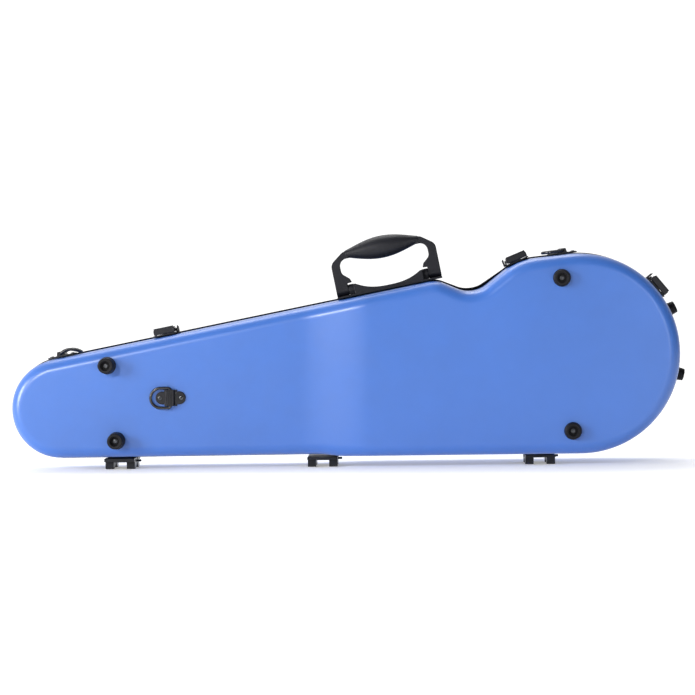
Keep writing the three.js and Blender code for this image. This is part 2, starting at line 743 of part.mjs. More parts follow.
// Each latch stands upright on the wall: on the neck's edge, on the shoulder and on the wide end.
function addLatches() {
  const shoulderAngle = (WAIST_RISE_ANGLE + BODY_EDGE_ANGLE) / 2;
  const halfTurn = (WAIST_RISE_ANGLE - BODY_EDGE_ANGLE) / 2;
  const shoulderInset = SHOULDER.radius * (1 / Math.cos(halfTurn) - 1);
  const spots = [
    { x: LATCH.neckX, z: topEdgeAt(LATCH.neckX), angle: TOP_EDGE_ANGLE, horn: 1 },
    {
      x: SHOULDER.x + shoulderInset * Math.sin(shoulderAngle),
      z: SHOULDER.z - shoulderInset * Math.cos(shoulderAngle),
      angle: shoulderAngle,
      horn: -1,
    },
    {
      x: WIDE_END.x + WIDE_END.radius * Math.cos(LATCH.wideAngle),
      z: WIDE_END.z + WIDE_END.radius * Math.sin(LATCH.wideAngle),
      angle: LATCH.wideAngle - Math.PI / 2,
      horn: -1,
    },
  ];
  spots.forEach((at, i) => {
    const spot = onEdge(at.x, at.z, at.angle);
    place(`latch_base_${i + 1}`, latchBase(at.horn), BLACK_METAL, spot);
    place(`latch_lever_${i + 1}`, latchLever(), BLACK_METAL, spot);
    place(`latch_bail_${i + 1}`, latchBail(), STEEL, spot);
    place(`latch_keeper_${i + 1}`, latchKeeper(), BLACK_METAL, spot);
  });
}

// ---------------------------------------------------------------- handle

function addHandle() {
  const spot = onEdge(HANDLE.x, topEdgeAt(HANDLE.x), TOP_EDGE_ANGLE, HANDLE.y);
  const half = HANDLE.halfLength;
  const legInner = half - HANDLE.legWidth;
  const towerOuter = legInner - 0.6;
  const towerInner = towerOuter - HANDLE.towerWidth;
  const deep = HANDLE.baseDepth / 2;

  const baseProfile = [
    [-half, GAP],
    [half, GAP],
    [half, HANDLE.basePlate],
    [towerOuter, HANDLE.basePlate],
    [towerOuter, HANDLE.towerHeight - 3],
    [towerOuter - 3, HANDLE.towerHeight],
    [towerInner, HANDLE.towerHeight],
    [towerInner - 6, 9],
    [towerInner - 16, 6.4],
    [0, 5],
    [-towerInner + 16, 6.4],
    [-towerInner + 6, 9],
    [-towerInner, HANDLE.towerHeight],
    [-towerOuter + 3, HANDLE.towerHeight],
    [-towerOuter, HANDLE.towerHeight - 3],
    [-towerOuter, HANDLE.basePlate],
    [-half, HANDLE.basePlate],
  ];
  const hole = bar("x", -half - 1, half + 1, HANDLE.pinRadius + GAP, 0, HANDLE.pivotHeight);
  place("handle_base", cut(prism("y", baseProfile, -deep, deep), hole), BLACK_PLASTIC, spot);

  const grip = HANDLE.gripHeight;
  const barTop = grip + HANDLE.barHeight / 2;
  const barLow = grip - HANDLE.barHeight / 2;
  const trim = HANDLE.gripHalf + 1;
  const right = [
    [trim, barTop],
    [half - 7, 45.5],
    [half, 38],
    [half, HANDLE.pivotHeight],
    [legInner, HANDLE.pivotHeight],
    [legInner, HANDLE.kneeLow],
    [half - HANDLE.armWidth, HANDLE.kneeTop],
    [half - HANDLE.armWidth, 38],
    [trim, barLow],
  ];
  const left = right.map(([u, v]) => [-u, v]).reverse();
  const arch = prism("y", [...right, ...left], -HANDLE.hubRadius, HANDLE.hubRadius);
  const hub = (from, to) => bar("x", from, to, HANDLE.hubRadius, 0, HANDLE.pivotHeight, 24);
  const frame = join(arch, hub(legInner, half), hub(-half, -legInner));
  const sides = [-1, 1].map((side) => {
    const y = [(side * HANDLE.barDepth) / 2, side * 2 * HANDLE.hubRadius].sort((a, b) => a - b);
    return block(-trim, trim, y[0], y[1], barLow - 4, barTop + 4);
  });
  place("handle_frame", cut(frame, hole, ...sides), BLACK_PLASTIC, spot);

  const stations = 10;
  const profile = [new THREE.Vector2(0, -HANDLE.gripHalf)];
  for (let k = 0; k <= stations; k++) {
    const along = -1 + (2 * k) / stations;
    const crown = Math.cos((along * Math.PI) / 2) ** 1.2;
    const radius = HANDLE.gripEndRadius + (HANDLE.gripRadius - HANDLE.gripEndRadius) * crown;
    profile.push(new THREE.Vector2(radius, along * HANDLE.gripHalf));
  }
  profile.push(new THREE.Vector2(0, HANDLE.gripHalf));
  const lens = new THREE.LatheGeometry(profile, 12).rotateZ(Math.PI / 2).translate(0, 0, grip);
  const y = HANDLE.barDepth / 2 + GAP;
  const channel = block(-half, half, -y, y, barLow - GAP, barTop + GAP);
  place("handle_grip", cut(lens, channel), SOFT_GRIP, spot);

  ["left", "right"].forEach((name, i) => {
    const side = i * 2 - 1;
    const ends = [side * (towerInner + 2), side * (half - 0.5)].sort((a, b) => a - b);
    const pin = bar("x", ends[0], ends[1], HANDLE.pinRadius, 0, HANDLE.pivotHeight);
    place(`handle_pin_${name}`, pin, STEEL, spot);
  });
}

// ---------------------------------------------------------------- strap rings

// Plate with two round lobes and a raised bridge that the ring's bar turns in.
function ringPlate() {
  const half = 9.5;
  const lobes = [-10, 10].map((x) => bar("z", GAP, 2, RING.lobe, x, 0, 16));
  const bridge = prism(
    "y",
    [
      [-7.5, GAP],
      [7.5, GAP],
      [7.5, 1.8],
      [4.6, 2.4],
      [3.6, RING.bridge - 0.8],
      [2.4, RING.bridge],
      [-2.4, RING.bridge],
      [-3.6, RING.bridge - 0.8],
      [-4.6, 2.4],
      [-7.5, 1.8],
    ],
    -half,
    half,
  );
  const hole = bar("y", -half - 1, half + 1, RING.wire + GAP, 0, RING.axisHeight);
  return cut(join(bridge, ...lobes), hole);
}

// A D of round wire whose bar lies in the bridge. It reaches to one side and may arch away from the plate.
function ringWire(direction, rise) {
  const half = RING.halfBar;
  const bow = RING.reach - half;
  const path = [];
  for (let k = 0; k <= 4; k++) path.push([0, -half + 2 + ((half - 2) * k) / 2]);
  path.push([1.2, half - 0.4]);
  for (let k = 0; k <= 8; k++) {
    const turn = Math.PI / 2 - (Math.PI * k) / 8;
    path.push([bow + half * Math.cos(turn), half * Math.sin(turn)]);
  }
  path.push([1.2, -half + 0.4]);
  const points = path.map(([along, across]) => {
    const lift = rise * Math.sin((Math.PI * along) / RING.reach);
    return new THREE.Vector3(direction * along, across, RING.axisHeight + lift);
  });
  return wireLoop(points, RING.wire);
}

function addStrapRings() {
  const bodyEdgeAt = (x) => SHOULDER.z + (x - SHOULDER.x) * Math.tan(BODY_EDGE_ANGLE);
  const spots = {
    back: (ring) => onBack(ring.x, ring.z, BOTTOM.neck),
    neck: (ring) => onEdge(ring.x, topEdgeAt(ring.x), TOP_EDGE_ANGLE, SIDE_RING_Y),
    body: (ring) => onEdge(ring.x, bodyEdgeAt(ring.x), BODY_EDGE_ANGLE, SIDE_RING_Y),
  };
  STRAP_RINGS.forEach((ring) => {
    const spot = spots[ring.name](ring);
    place(`strap_ring_plate_${ring.name}`, ringPlate(), BLACK_METAL, spot);
    place(`strap_ring_${ring.name}`, ringWire(ring.direction, ring.rise), STEEL, spot);
  });
}

// ---------------------------------------------------------------- feet

// A round rubber foot with a recess for its screw.
function foot(baseRadius, tipRadius, height, recess, recessDepth) {
  const profile = [
    [0, GAP],
    [baseRadius, GAP],
    [baseRadius, 1.6],
    [tipRadius + 0.8, height - 1.6],
    [tipRadius - 0.4, height],
    [recess + 0.6, height],
    [recess, height - 0.8],
    [recess, height - recessDepth],
    [0, height - recessDepth],
  ].map(([radius, z]) => new THREE.Vector2(radius, z));
  return new THREE.LatheGeometry(profile, 18).rotateX(Math.PI / 2);
}

// A pan-head screw in the foot's recess, with a cross slot.
function screw(radius, low) {
  const head = bar("z", low, low + 1.6, radius, 0, 0, 12);
  const slot = (turned) => {
    const geometry = new THREE.BoxGeometry(radius * 1.3, 0.8, 1.4);
    return geometry.rotateZ(turned ? Math.PI / 2 : 0).translate(0, 0, low + 1.6);
  };
  return cut(head, slot(false), slot(true));
}

function addFeet() {
  BACK_FEET.forEach((at) => {
    const depth = depthAt(BOTTOM, at.x);
    const height = FOOT_TIP - depth;
    const recess = Math.min(BACK_FOOT.recess, height - 3);
    const spot = onBack(at.x, at.z, depth);
    place(at.name, foot(BACK_FOOT.radius, BACK_FOOT.tip, height, BACK_FOOT.hole, recess), RUBBER, spot);
    place(`screw_${at.name}`, screw(BACK_FOOT.screw, height - recess + GAP), STEEL, spot);
  });
  // The wide end's wall is curved, so the end feet are sunk a little to meet it all round.
  END_FEET.forEach((at) => {
    const reach = WIDE_END.radius - END_FOOT.sunk;
    const x = WIDE_END.x + reach * Math.cos(at.angle);
    const z = WIDE_END.z + reach * Math.sin(at.angle);
    const spot = onEdge(x, z, at.angle - Math.PI / 2, END_FOOT.y);
    const { radius, tip, height, hole, recess } = END_FOOT;
    place(at.name, foot(radius, tip, height, hole, recess), RUBBER, spot);
    place(`screw_${at.name}`, screw(END_FOOT.screw, height - recess + GAP), STEEL, spot);
  });
}

// ---------------------------------------------------------------- bow fittings in the lid

// Where something fixed to the lid's padding begins, at x.
const lidFaceAt = (x) => depthAt(LID, x) - LINER_OFFSET - LID_PADDING - GAP;

// A block with a round-bottomed groove that a bow's stick lies in.
function bowHolder({ x, z }) {
  const { halfLength, depth, halfHeight, groove } = BOW_HOLDER;
  const face = lidFaceAt(x);
  const grooveY = face - depth + 3;
  const grooveZ = z + BOW_HOLDER.grooveZ;
  const from = x - halfLength;
  const to = x + halfLength;
  return cut(
    block(from, to, face - depth, face, z - halfHeight, z + halfHeight),
    bar("x", from - 1, to + 1, groove, grooveY, grooveZ),
    block(from - 1, to + 1, face - depth - 1, grooveY, grooveZ - groove, grooveZ + groove),
  );
}

// A turning bar with round ends that closes the groove.
function bowToggle({ x, z }) {
  const { halfWidth, thickness, pivotZ, tipZ } = BOW_TOGGLE;
  const top = lidFaceAt(x) - BOW_HOLDER.depth - GAP;
  return join(
    block(x - halfWidth, x + halfWidth, top - thickness, top, z + tipZ, z + pivotZ),
    bar("y", top - thickness, top, halfWidth, x, z + pivotZ),
    bar("y", top - thickness, top, halfWidth, x, z + tipZ),
  );
}

// A flat pocket, open towards the wide end, that the tip of a bow goes into.
function tipPocket({ x, z }) {
  const { halfLength, depth, halfHeight, cloth, end } = TIP_POCKET;
  const face = lidFaceAt(x);
  const inside = halfHeight - cloth;
  const from = x - halfLength;
  const to = x + halfLength;
  return cut(
    block(from, to, face - depth, face, z - halfHeight, z + halfHeight),
    block(from + end, to + 1, face - depth + cloth, face - cloth, z - inside, z + inside),
  );
}

function addBowFittings() {
  BOW_HOLDERS.forEach((at) => {
    place(`bow_holder_${at.name}`, bowHolder(at), BLACK_PLASTIC);
    place(`bow_toggle_${at.name}`, bowToggle(at), BLACK_PLASTIC);
  });
  TIP_POCKETS.forEach((at) => {
    place(`bow_tip_pocket_${at.name}`, tipPocket(at), WEBBING);
  });
}

// ---------------------------------------------------------------- assembly

addShell("bottom_shell", BOTTOM);
addShell("lid_shell", LID);
addRim("bottom_rim", BOTTOM);
addRim("lid_rim", LID);
addBottomLiner();
addLidLiner();
addNeckRest();
addNeckStrap();
addCompartmentCover();
addHinges();
addLatches();
addHandle();
addStrapRings();
addFeet();
addBowFittings();

const bounds = new THREE.Box3().setFromObject(violinCase);
const centre = bounds.getCenter(new THREE.Vector3());
violinCase.position.set(-centre.x, -centre.y, -bounds.min.z);

export default group;
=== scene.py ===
import json
import math

import bmesh
import bpy
from mathutils import Matrix, Vector

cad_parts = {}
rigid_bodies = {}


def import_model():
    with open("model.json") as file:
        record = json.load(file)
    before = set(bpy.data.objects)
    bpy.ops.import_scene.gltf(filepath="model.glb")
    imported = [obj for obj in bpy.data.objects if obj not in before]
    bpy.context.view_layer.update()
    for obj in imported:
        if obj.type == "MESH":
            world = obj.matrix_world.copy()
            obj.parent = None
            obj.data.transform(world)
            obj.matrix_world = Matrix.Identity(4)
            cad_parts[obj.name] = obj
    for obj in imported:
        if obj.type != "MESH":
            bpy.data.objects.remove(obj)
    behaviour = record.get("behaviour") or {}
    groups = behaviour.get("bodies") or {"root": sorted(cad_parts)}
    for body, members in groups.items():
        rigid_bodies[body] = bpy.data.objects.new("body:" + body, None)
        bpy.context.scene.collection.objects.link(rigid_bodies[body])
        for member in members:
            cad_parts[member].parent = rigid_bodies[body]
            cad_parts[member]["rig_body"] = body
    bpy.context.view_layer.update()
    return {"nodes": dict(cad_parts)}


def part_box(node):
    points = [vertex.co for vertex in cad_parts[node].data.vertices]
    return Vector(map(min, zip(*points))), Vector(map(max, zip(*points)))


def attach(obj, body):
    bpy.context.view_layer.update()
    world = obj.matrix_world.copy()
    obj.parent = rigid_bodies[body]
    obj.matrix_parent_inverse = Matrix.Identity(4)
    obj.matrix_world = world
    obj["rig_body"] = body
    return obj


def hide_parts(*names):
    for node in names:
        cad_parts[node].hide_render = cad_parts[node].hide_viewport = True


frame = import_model()

MM = 0.001

# ---------------------------------------------------------------- driving dimensions, in millimetres

# The shells' outline as (x, z, corner radius), clockwise seen from the back.
CASE_CORNERS = [
    (-391, 13.5, 59),
    (-391, 122, 59),
    (110, 218.7, 30),
    (153, 200.2, 33),
    (204.5, 240.4, 70),
    (392.8, 260.9, 117.6),
    (392.8, 12.2, 117.6),
    (-4, 12.2, 60),
    (-27, 14.8, 60),
]
NARROW_LOW, NARROW_TOP, CREST, WAIST, SHOULDER, WIDE_TOP = CASE_CORNERS[:6]
TOP_EDGE_ANGLE = math.atan2(CREST[1] - NARROW_TOP[1], CREST[0] - NARROW_TOP[0])
BODY_EDGE_ANGLE = math.atan2(WIDE_TOP[1] - SHOULDER[1], WIDE_TOP[0] - SHOULDER[0])
WIDE_END = (275.2, 129.8, 117.6)
SHELL_EDGE = 2.0
WALL = 2.8
FACE_MARGIN = 1.5  # flat strip that holds the face straight beside its rounded edge
RAMP = (-50.0, 28.0)
BOTTOM = {"side": -1, "neck": 50.0, "body": 60.0, "draft": 1.5, "round": 14.0}
LID = {"side": 1, "neck": 62.0, "body": 84.0, "draft": 2.0, "round": 22.0}

# The script's drawing frame is the CAD's own: the seam is y = 0 and the floor z = 0.
shell_low, shell_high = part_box("bottom_shell")
SHIFT_X = shell_low.x / MM - NARROW_LOW[0]
SHIFT_Y = shell_high.y / MM + SHELL_EDGE


def spot(x, y, z):
    """A place in the drawing frame, in millimetres, as a place in the scene, in metres."""
    return Vector((x + SHIFT_X, y + SHIFT_Y, z)) * MM


# ---------------------------------------------------------------- camera, floor and light

CAMERA_LENS = 109.2
CAMERA_PLACE = Vector((0.0627, -2.508, 0.1825))
CAMERA_AIM = Vector((0.0001, -0.008, 0.1397))
CAMERA_ROLL = math.radians(-0.79)

camera_data = bpy.data.cameras.new("camera")
camera_data.sensor_width = 36
camera_data.lens = CAMERA_LENS
camera = bpy.data.objects.new("camera", camera_data)
bpy.context.scene.collection.objects.link(camera)
camera_turn = (CAMERA_AIM - CAMERA_PLACE).to_track_quat("-Z", "Y").to_matrix()
camera_roll = Matrix.Rotation(CAMERA_ROLL, 3, "Z")
camera.matrix_world = Matrix.Translation(CAMERA_PLACE) @ (camera_turn @ camera_roll).to_4x4()
bpy.context.scene.camera = camera


def add_area(name, place, size, power, colour):
    """A rectangular lamp that faces the case. Places and sizes are in metres, and power is in watts."""
    light_data = bpy.data.lights.new(name, "AREA")
    light_data.shape = "RECTANGLE"
    light_data.size, light_data.size_y = size
    light_data.energy = power
    light_data.color = colour
    light = bpy.data.objects.new(name, light_data)
    light.location = place
    light.rotation_euler = (CASE_CENTRE - Vector(place)).to_track_quat("-Z", "Y").to_euler()
    bpy.context.scene.collection.objects.link(light)


CASE_CENTRE = Vector((0.0, 0.0, 0.13))
add_area("key_light", (-2.2, -1.4, 0.62), (0.8, 0.8), 50, (1.0, 0.985, 0.965))
add_area("front_light", (-1.15, -2.6, 0.95), (0.36, 0.36), 32, (1.0, 0.98, 0.97))
add_area("fill_light", (1.05, -2.4, 0.45), (0.2, 0.9), 5, (0.97, 0.98, 1.0))
add_area("top_light", (-0.3, 0.9, 2.3), (1.8, 1.2), 26, (1.0, 1.0, 1.0))

# The studio's walls are brightest behind the case and dimmest on its front right.
world = bpy.data.worlds.new("studio")
bpy.context.scene.world = world
world.use_nodes = True
world_tree = world.node_tree
background = world_tree.nodes["Background"]
background.inputs["Color"].default_value = (1.0, 1.0, 1.0, 1)
direction = world_tree.nodes.new("ShaderNodeTexCoord")
facing = world_tree.nodes.new("ShaderNodeVectorMath")
facing.operation = "DOT_PRODUCT"
facing.inputs[1].default_value = Vector((-0.42, 0.88, 0.2)).normalized()
brightness = world_tree.nodes.new("ShaderNodeMapRange")
brightness.inputs["From Min"].default_value = -0.35
brightness.inputs["From Max"].default_value = 0.75
brightness.inputs["To Min"].default_value = 0.1
brightness.inputs["To Max"].default_value = 1.15
world_tree.links.new(direction.outputs["Generated"], facing.inputs[0])
world_tree.links.new(facing.outputs["Value"], brightness.inputs["Value"])
world_tree.links.new(brightness.outputs["Result"], background.inputs["Strength"])
bpy.context.scene.view_settings.view_transform = "Standard"


# ---------------------------------------------------------------- materials


def start_material(name):
    made = bpy.data.materials.new(name)
    made.use_nodes = True
    tree = made.node_tree
    shader = tree.nodes["Principled BSDF"]
    coordinates = tree.nodes.new("ShaderNodeTexCoord")
    return made, tree, shader, coordinates.outputs["Object"]


def add_noise(tree, coordinates, scale, detail=3.0, roughness=0.55, stretch=None):
    if stretch:
        mapping = tree.nodes.new("ShaderNodeMapping")
        mapping.inputs["Scale"].default_value = stretch
        tree.links.new(coordinates, mapping.inputs["Vector"])
        coordinates = mapping.outputs["Vector"]
    texture = tree.nodes.new("ShaderNodeTexNoise")
    texture.inputs["Scale"].default_value = scale
    texture.inputs["Detail"].default_value = detail
    texture.inputs["Roughness"].default_value = roughness
    tree.links.new(coordinates, texture.inputs["Vector"])
    return texture.outputs["Fac"]


def add_range(tree, factor, low, high, start=0.3, end=0.7):
    """Maps a texture's middle range to the range from low to high."""
    node = tree.nodes.new("ShaderNodeMapRange")
    node.inputs["From Min"].default_value = start
    node.inputs["From Max"].default_value = end
    node.inputs["To Min"].default_value = low
    node.inputs["To Max"].default_value = high
    tree.links.new(factor, node.inputs["Value"])
    return node.outputs["Result"]


def add_mix(tree, factor, first, second):
    node = tree.nodes.new("ShaderNodeMix")
    node.data_type = "RGBA"
    for value, socket in ((first, node.inputs[6]), (second, node.inputs[7])):
        if isinstance(value, tuple):
            socket.default_value = (*value, 1)
        else:
            tree.links.new(value, socket)
    if isinstance(factor, float):
        node.inputs[0].default_value = factor
    else:
        tree.links.new(factor, node.inputs[0])
    return node.outputs[2]


def add_math(tree, operation, first, second):
    node = tree.nodes.new("ShaderNodeMath")
    node.operation = operation
    for value, socket in ((first, node.inputs[0]), (second, node.inputs[1])):
        if isinstance(value, float):
            socket.default_value = value
        else:
            tree.links.new(value, socket)
    return node.outputs[0]


def add_bump(tree, shader, layers):
    """Chains bump nodes, each layer given as (height socket, strength, distance in millimetres)."""
    normal = None
    for height, strength, distance in layers:
        node = tree.nodes.new("ShaderNodeBump")
        node.inputs["Strength"].default_value = strength
        node.inputs["Distance"].default_value = distance * MM
        tree.links.new(height, node.inputs["Height"])
        if normal:
            tree.links.new(normal, node.inputs["Normal"])
        normal = node.outputs["Normal"]
    tree.links.new(normal, shader.inputs["Normal"])


def scaled(colour, factor):
    return tuple(min(1.0, channel * factor) for channel in colour)


def solid_material(name, colour, roughness, vary=0.12, metal=0.0, specular=0.5, grain=0.0, grain_scale=1800):
    """Painted metal, rubber or moulded plastic: faint blotches, uneven gloss and a fine grain."""
    made, tree, shader, coordinates = start_material(name)
    blotch = add_noise(tree, coordinates, 55, 4)
    fine = add_noise(tree, coordinates, grain_scale, 2)
    tint = add_range(tree, blotch, 0.0, 1.0)
    pale = scaled(colour, 1 + vary)
    dark = scaled(colour, 1 - vary)
    tree.links.new(add_mix(tree, tint, dark, pale), shader.inputs["Base Color"])
    tree.links.new(add_range(tree, blotch, roughness + 0.06, roughness - 0.05), shader.inputs["Roughness"])
    shader.inputs["Metallic"].default_value = metal
    shader.inputs["Specular IOR Level"].default_value = specular
    add_bump(tree, shader, [(blotch, 0.12, 0.1), (fine, grain, 0.12)])
    return made


def paint_material():
    """Satin blue paint over glass fibre: orange peel, a slow drift of tone, and uneven gloss."""
    made, tree, shader, coordinates = start_material("shell_paint")
    drift = add_noise(tree, coordinates, 5, 2)
    blotch = add_noise(tree, coordinates, 38, 3)
    peel = add_noise(tree, coordinates, 330, 2, 0.4)
    speck = add_noise(tree, coordinates, 1500, 2)
    base = (0.040, 0.134, 0.465)
    toned = add_mix(tree, add_range(tree, drift, 0.0, 1.0), scaled(base, 0.94), scaled(base, 1.07))
    mottled = add_mix(tree, add_range(tree, blotch, 0.0, 0.16), toned, scaled(base, 1.28))
    tree.links.new(mottled, shader.inputs["Base Color"])
    tree.links.new(add_range(tree, blotch, 0.38, 0.31), shader.inputs["Roughness"])
    shader.inputs["Specular IOR Level"].default_value = 0.55
    shader.inputs["Coat Weight"].default_value = 0.34
    shader.inputs["Coat Roughness"].default_value = 0.24
    add_bump(tree, shader, [(blotch, 0.10, 0.5), (peel, 0.16, 0.25), (speck, 0.05, 0.05)])
    return made


def plush_material():
    """Short-pile velvet: a soft sheen, brushed patches and a fine nap."""
    made, tree, shader, coordinates = start_material("plush")
    brushed = add_noise(tree, coordinates, 16, 4, 0.6, stretch=(1.0, 1.6, 0.7))
    nap = add_noise(tree, coordinates, 1300, 3)
    base = (0.020, 0.026, 0.046)
    brushed_tone = add_range(tree, brushed, 0.0, 1.0, 0.35, 0.65)
    toned = add_mix(tree, brushed_tone, scaled(base, 0.72), scaled(base, 1.5))
    speckled = add_mix(tree, add_range(tree, nap, 0.0, 0.5), toned, scaled(base, 2.2))
    tree.links.new(speckled, shader.inputs["Base Color"])
    shader.inputs["Roughness"].default_value = 0.95
    shader.inputs["Specular IOR Level"].default_value = 0.15
    shader.inputs["Sheen Weight"].default_value = 0.55
    shader.inputs["Sheen Roughness"].default_value = 0.4
    shader.inputs["Sheen Tint"].default_value = (0.55, 0.62, 0.85, 1)
    add_bump(tree, shader, [(brushed, 0.25, 0.8), (nap, 0.6, 0.3)])
    return made


def weave_material(name, colour, pitch=1.3, turn=0.0):
    """Plain weave with the given thread pitch in millimetres."""
    made, tree, shader, coordinates = start_material(name)
    mapping = tree.nodes.new("ShaderNodeMapping")
    mapping.inputs["Rotation"].default_value = (0, turn, 0)
    tree.links.new(coordinates, mapping.inputs["Vector"])
    bands = []
    for direction in ("X", "Z"):
        wave = tree.nodes.new("ShaderNodeTexWave")
        wave.bands_direction = direction
        wave.inputs["Scale"].default_value = math.pi / (10 * pitch * MM)
        wave.inputs["Distortion"].default_value = 0.6
        wave.inputs["Detail"].default_value = 2
        tree.links.new(mapping.outputs["Vector"], wave.inputs["Vector"])
        bands.append(wave.outputs["Fac"])
    weave = add_math(tree, "MULTIPLY", bands[0], bands[1])
    fuzz = add_noise(tree, coordinates, 1600, 3)
    worn = add_noise(tree, coordinates, 40, 3)
    threads = add_mix(tree, weave, scaled(colour, 0.5), scaled(colour, 1.5))
    faded = add_mix(tree, add_range(tree, worn, 0.0, 0.35), threads, scaled(colour, 1.9))
    tree.links.new(faded, shader.inputs["Base Color"])
    shader.inputs["Roughness"].default_value = 0.88
    shader.inputs["Sheen Weight"].default_value = 0.25
    shader.inputs["Specular IOR Level"].default_value = 0.25
    add_bump(tree, shader, [(weave, 0.7, 0.25), (fuzz, 0.35, 0.15)])
    return made


def floor_material():
    """A pale matt floor that glows with painted light, weakly near the case and more strongly away from it,
    so the far floor stays bright.
    """
    made, tree, shader, coordinates = start_material("floor")
    cloudy = add_noise(tree, coordinates, 1.3, 2)
    toned = add_mix(tree, add_range(tree, cloudy, 0.0, 1.0), (0.90, 0.90, 0.90), (0.93, 0.93, 0.93))
    tree.links.new(toned, shader.inputs["Base Color"])
    shader.inputs["Roughness"].default_value = 0.9
    shader.inputs["Specular IOR Level"].default_value = 0.1
    # Painted light: the floor glows, and the glow grows with distance from the case.
    shader.inputs["Emission Color"].default_value = (1.0, 1.0, 1.0, 1)
    distance = tree.nodes.new("ShaderNodeVectorMath")
    distance.operation = "LENGTH"
    tree.links.new(coordinates, distance.inputs[0])
    painted_glow = add_range(tree, distance.outputs["Value"], 0.3, 0.62, 1.5, 5.0)
    tree.links.new(painted_glow, shader.inputs["Emission Strength"])
    return made


PAINT = paint_material()
RIM_PLASTIC = solid_material("rim_plastic", (0.006, 0.006, 0.008), 0.55, specular=0.16, grain=0.15)
BLACK_METAL = solid_material("black_metal", (0.0065, 0.0070, 0.0105), 0.34, 0.2, 0.0, 0.34, 0.08, 2600)
DARK_STEEL = solid_material("dark_steel", (0.030, 0.032, 0.040), 0.26, 0.15, 0.9, 0.5, 0.05, 3000)
WIRE_STEEL = solid_material("wire_steel", (0.010, 0.010, 0.013), 0.22, 0.15, 0.0, 0.6, 0.05, 3000)
PALE_STEEL = solid_material("pale_steel", (0.11, 0.115, 0.125), 0.3, 0.15, 0.95, 0.5, 0.05, 3000)
MOULDED = solid_material("moulded_plastic", (0.0060, 0.0066, 0.0105), 0.46, 0.12, 0.0, 0.26, 0.3, 1500)
SOFT_GRIP = solid_material("soft_grip", (0.0070, 0.0076, 0.0115), 0.5, 0.15, 0.0, 0.3, 0.4, 1100)
RUBBER = solid_material("rubber", (0.005, 0.005, 0.007), 0.5, 0.2, 0.0, 0.2, 0.4, 1400)
PLUSH = plush_material()
PIPING = weave_material("piping_cord", (0.013, 0.016, 0.028), 0.9)
WEBBING = weave_material("webbing", (0.016, 0.017, 0.022), 1.4, 0.089)
POCKET_CLOTH = weave_material("pocket_cloth", (0.018, 0.021, 0.034), 1.1)
THREAD = weave_material("thread", (0.05, 0.055, 0.075), 0.4)
HOOK_TAPE = solid_material("hook_tape", (0.010, 0.010, 0.012), 0.9, 0.3, 0.0, 0.2, 1.0, 900)


# ---------------------------------------------------------------- mesh helpers


def finish_mesh(name, builder, material, body, replaced=(), sharp=32, weighted=True):
    """Makes a piece from a bmesh in metres: faces out, smooth, with sharp edges kept."""
    bmesh.ops.recalc_face_normals(builder, faces=builder.faces)
    mesh = bpy.data.meshes.new(name)
    builder.to_mesh(mesh)
    builder.free()
    mesh.shade_smooth()
    mesh.set_sharp_from_angle(angle=math.radians(sharp))
    piece = bpy.data.objects.new(name, mesh)
    bpy.context.scene.collection.objects.link(piece)
    piece.data.materials.append(material)
    if weighted:
        modifier = piece.modifiers.new("even_normals", "WEIGHTED_NORMAL")
        modifier.keep_sharp = True
        modifier.weight = 80
    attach(piece, body)
    if replaced:
        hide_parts(*replaced)
    return piece


def add_mesh(builder, points, faces, transform=None):
    """Adds points in millimetres and faces to a bmesh. Without a transform they are in the drawing frame."""
    vertices = []
    for point in points:
        place = transform @ (Vector(point) * MM) if transform else spot(*point)
        vertices.append(builder.verts.new(place))
    for face in faces:
        corners = [vertices[i] for i in face]
        if len(set(corners)) > 2:
            builder.faces.new(corners)
    return vertices


def ring_faces(start, other, count):
    """Quads between two closed rings of points, given by the index of each ring's first point."""
    return [(start + i, start + (i + 1) % count, other + (i + 1) % count, other + i) for i in range(count)]


def rounded_outline(corners, arc_step=4.0, stations=()):
    """Points of a polygon with rounded corners as (x, z, out x, out z), clockwise."""
    count = len(corners)
    arcs = []
    for i, (x, z, radius) in enumerate(corners):
        before = corners[i - 1]
        after = corners[(i + 1) % count]
        here = Vector((x, z))
        inward = (here - Vector(before[:2])).normalized()
        onward = (Vector(after[:2]) - here).normalized()
        cross = inward.x * onward.y - inward.y * onward.x
        turn = math.atan2(cross, inward.dot(onward))
        start = here - inward * radius * math.tan(abs(turn) / 2)
        out = Vector((-inward.y, inward.x))
        sign = 1 if turn > 0 else -1
        centre = start + out * sign * radius
        steps = max(1, math.ceil(abs(math.degrees(turn)) / arc_step))
        arc = []
        for k in range(steps + 1):
            angle = turn * k / steps
            cos, sin = math.cos(angle), math.sin(angle)
            way = Vector((out.x * cos - out.y * sin, out.x * sin + out.y * cos))
            place = centre - way * sign * radius
            arc.append((place.x, place.y, way.x, way.y))
        arcs.append(arc)
    points = []
    for i, arc in enumerate(arcs):
        points += arc
        last = arc[-1]
        first = arcs[(i + 1) % count][0]
        between = [x for x in stations if (x - last[0]) * (first[0] - x) > 1e-9]
        for x in sorted(between, reverse=first[0] < last[0]):
            share = (x - last[0]) / (first[0] - last[0])
            points.append((x, last[1] + share * (first[1] - last[1]), last[2], last[3]))
    return points


def strip_faces(outline, offset):
    """Triangles across an outline from its left end to its right end, in upright strips."""
    count = len(outline)
    xs = [point[0] for point in outline]
    left, right = xs.index(min(xs)), xs.index(max(xs))
    upper = lower = left
    faces = []
    while upper != right or lower != right:
        next_upper = (upper + 1) % count
        next_lower = (lower - 1) % count
        if upper != right and (lower == right or xs[next_upper] <= xs[next_lower]):
            face = (upper, next_upper, lower)
            upper = next_upper
        else:
            face = (upper, next_lower, lower)
            lower = next_lower
        if len(set(face)) == 3:
            faces.append(tuple(offset + i for i in face))
    return faces


def depth_at(shell, x):
    """Depth of a shell's face. The ramp starts softly and ends at a low crease."""
    share = min(1.0, max(0.0, (x - RAMP[0]) / (RAMP[1] - RAMP[0])))
    return shell["neck"] + (shell["body"] - shell["neck"]) * share * share * (2.6 - 1.6 * share)


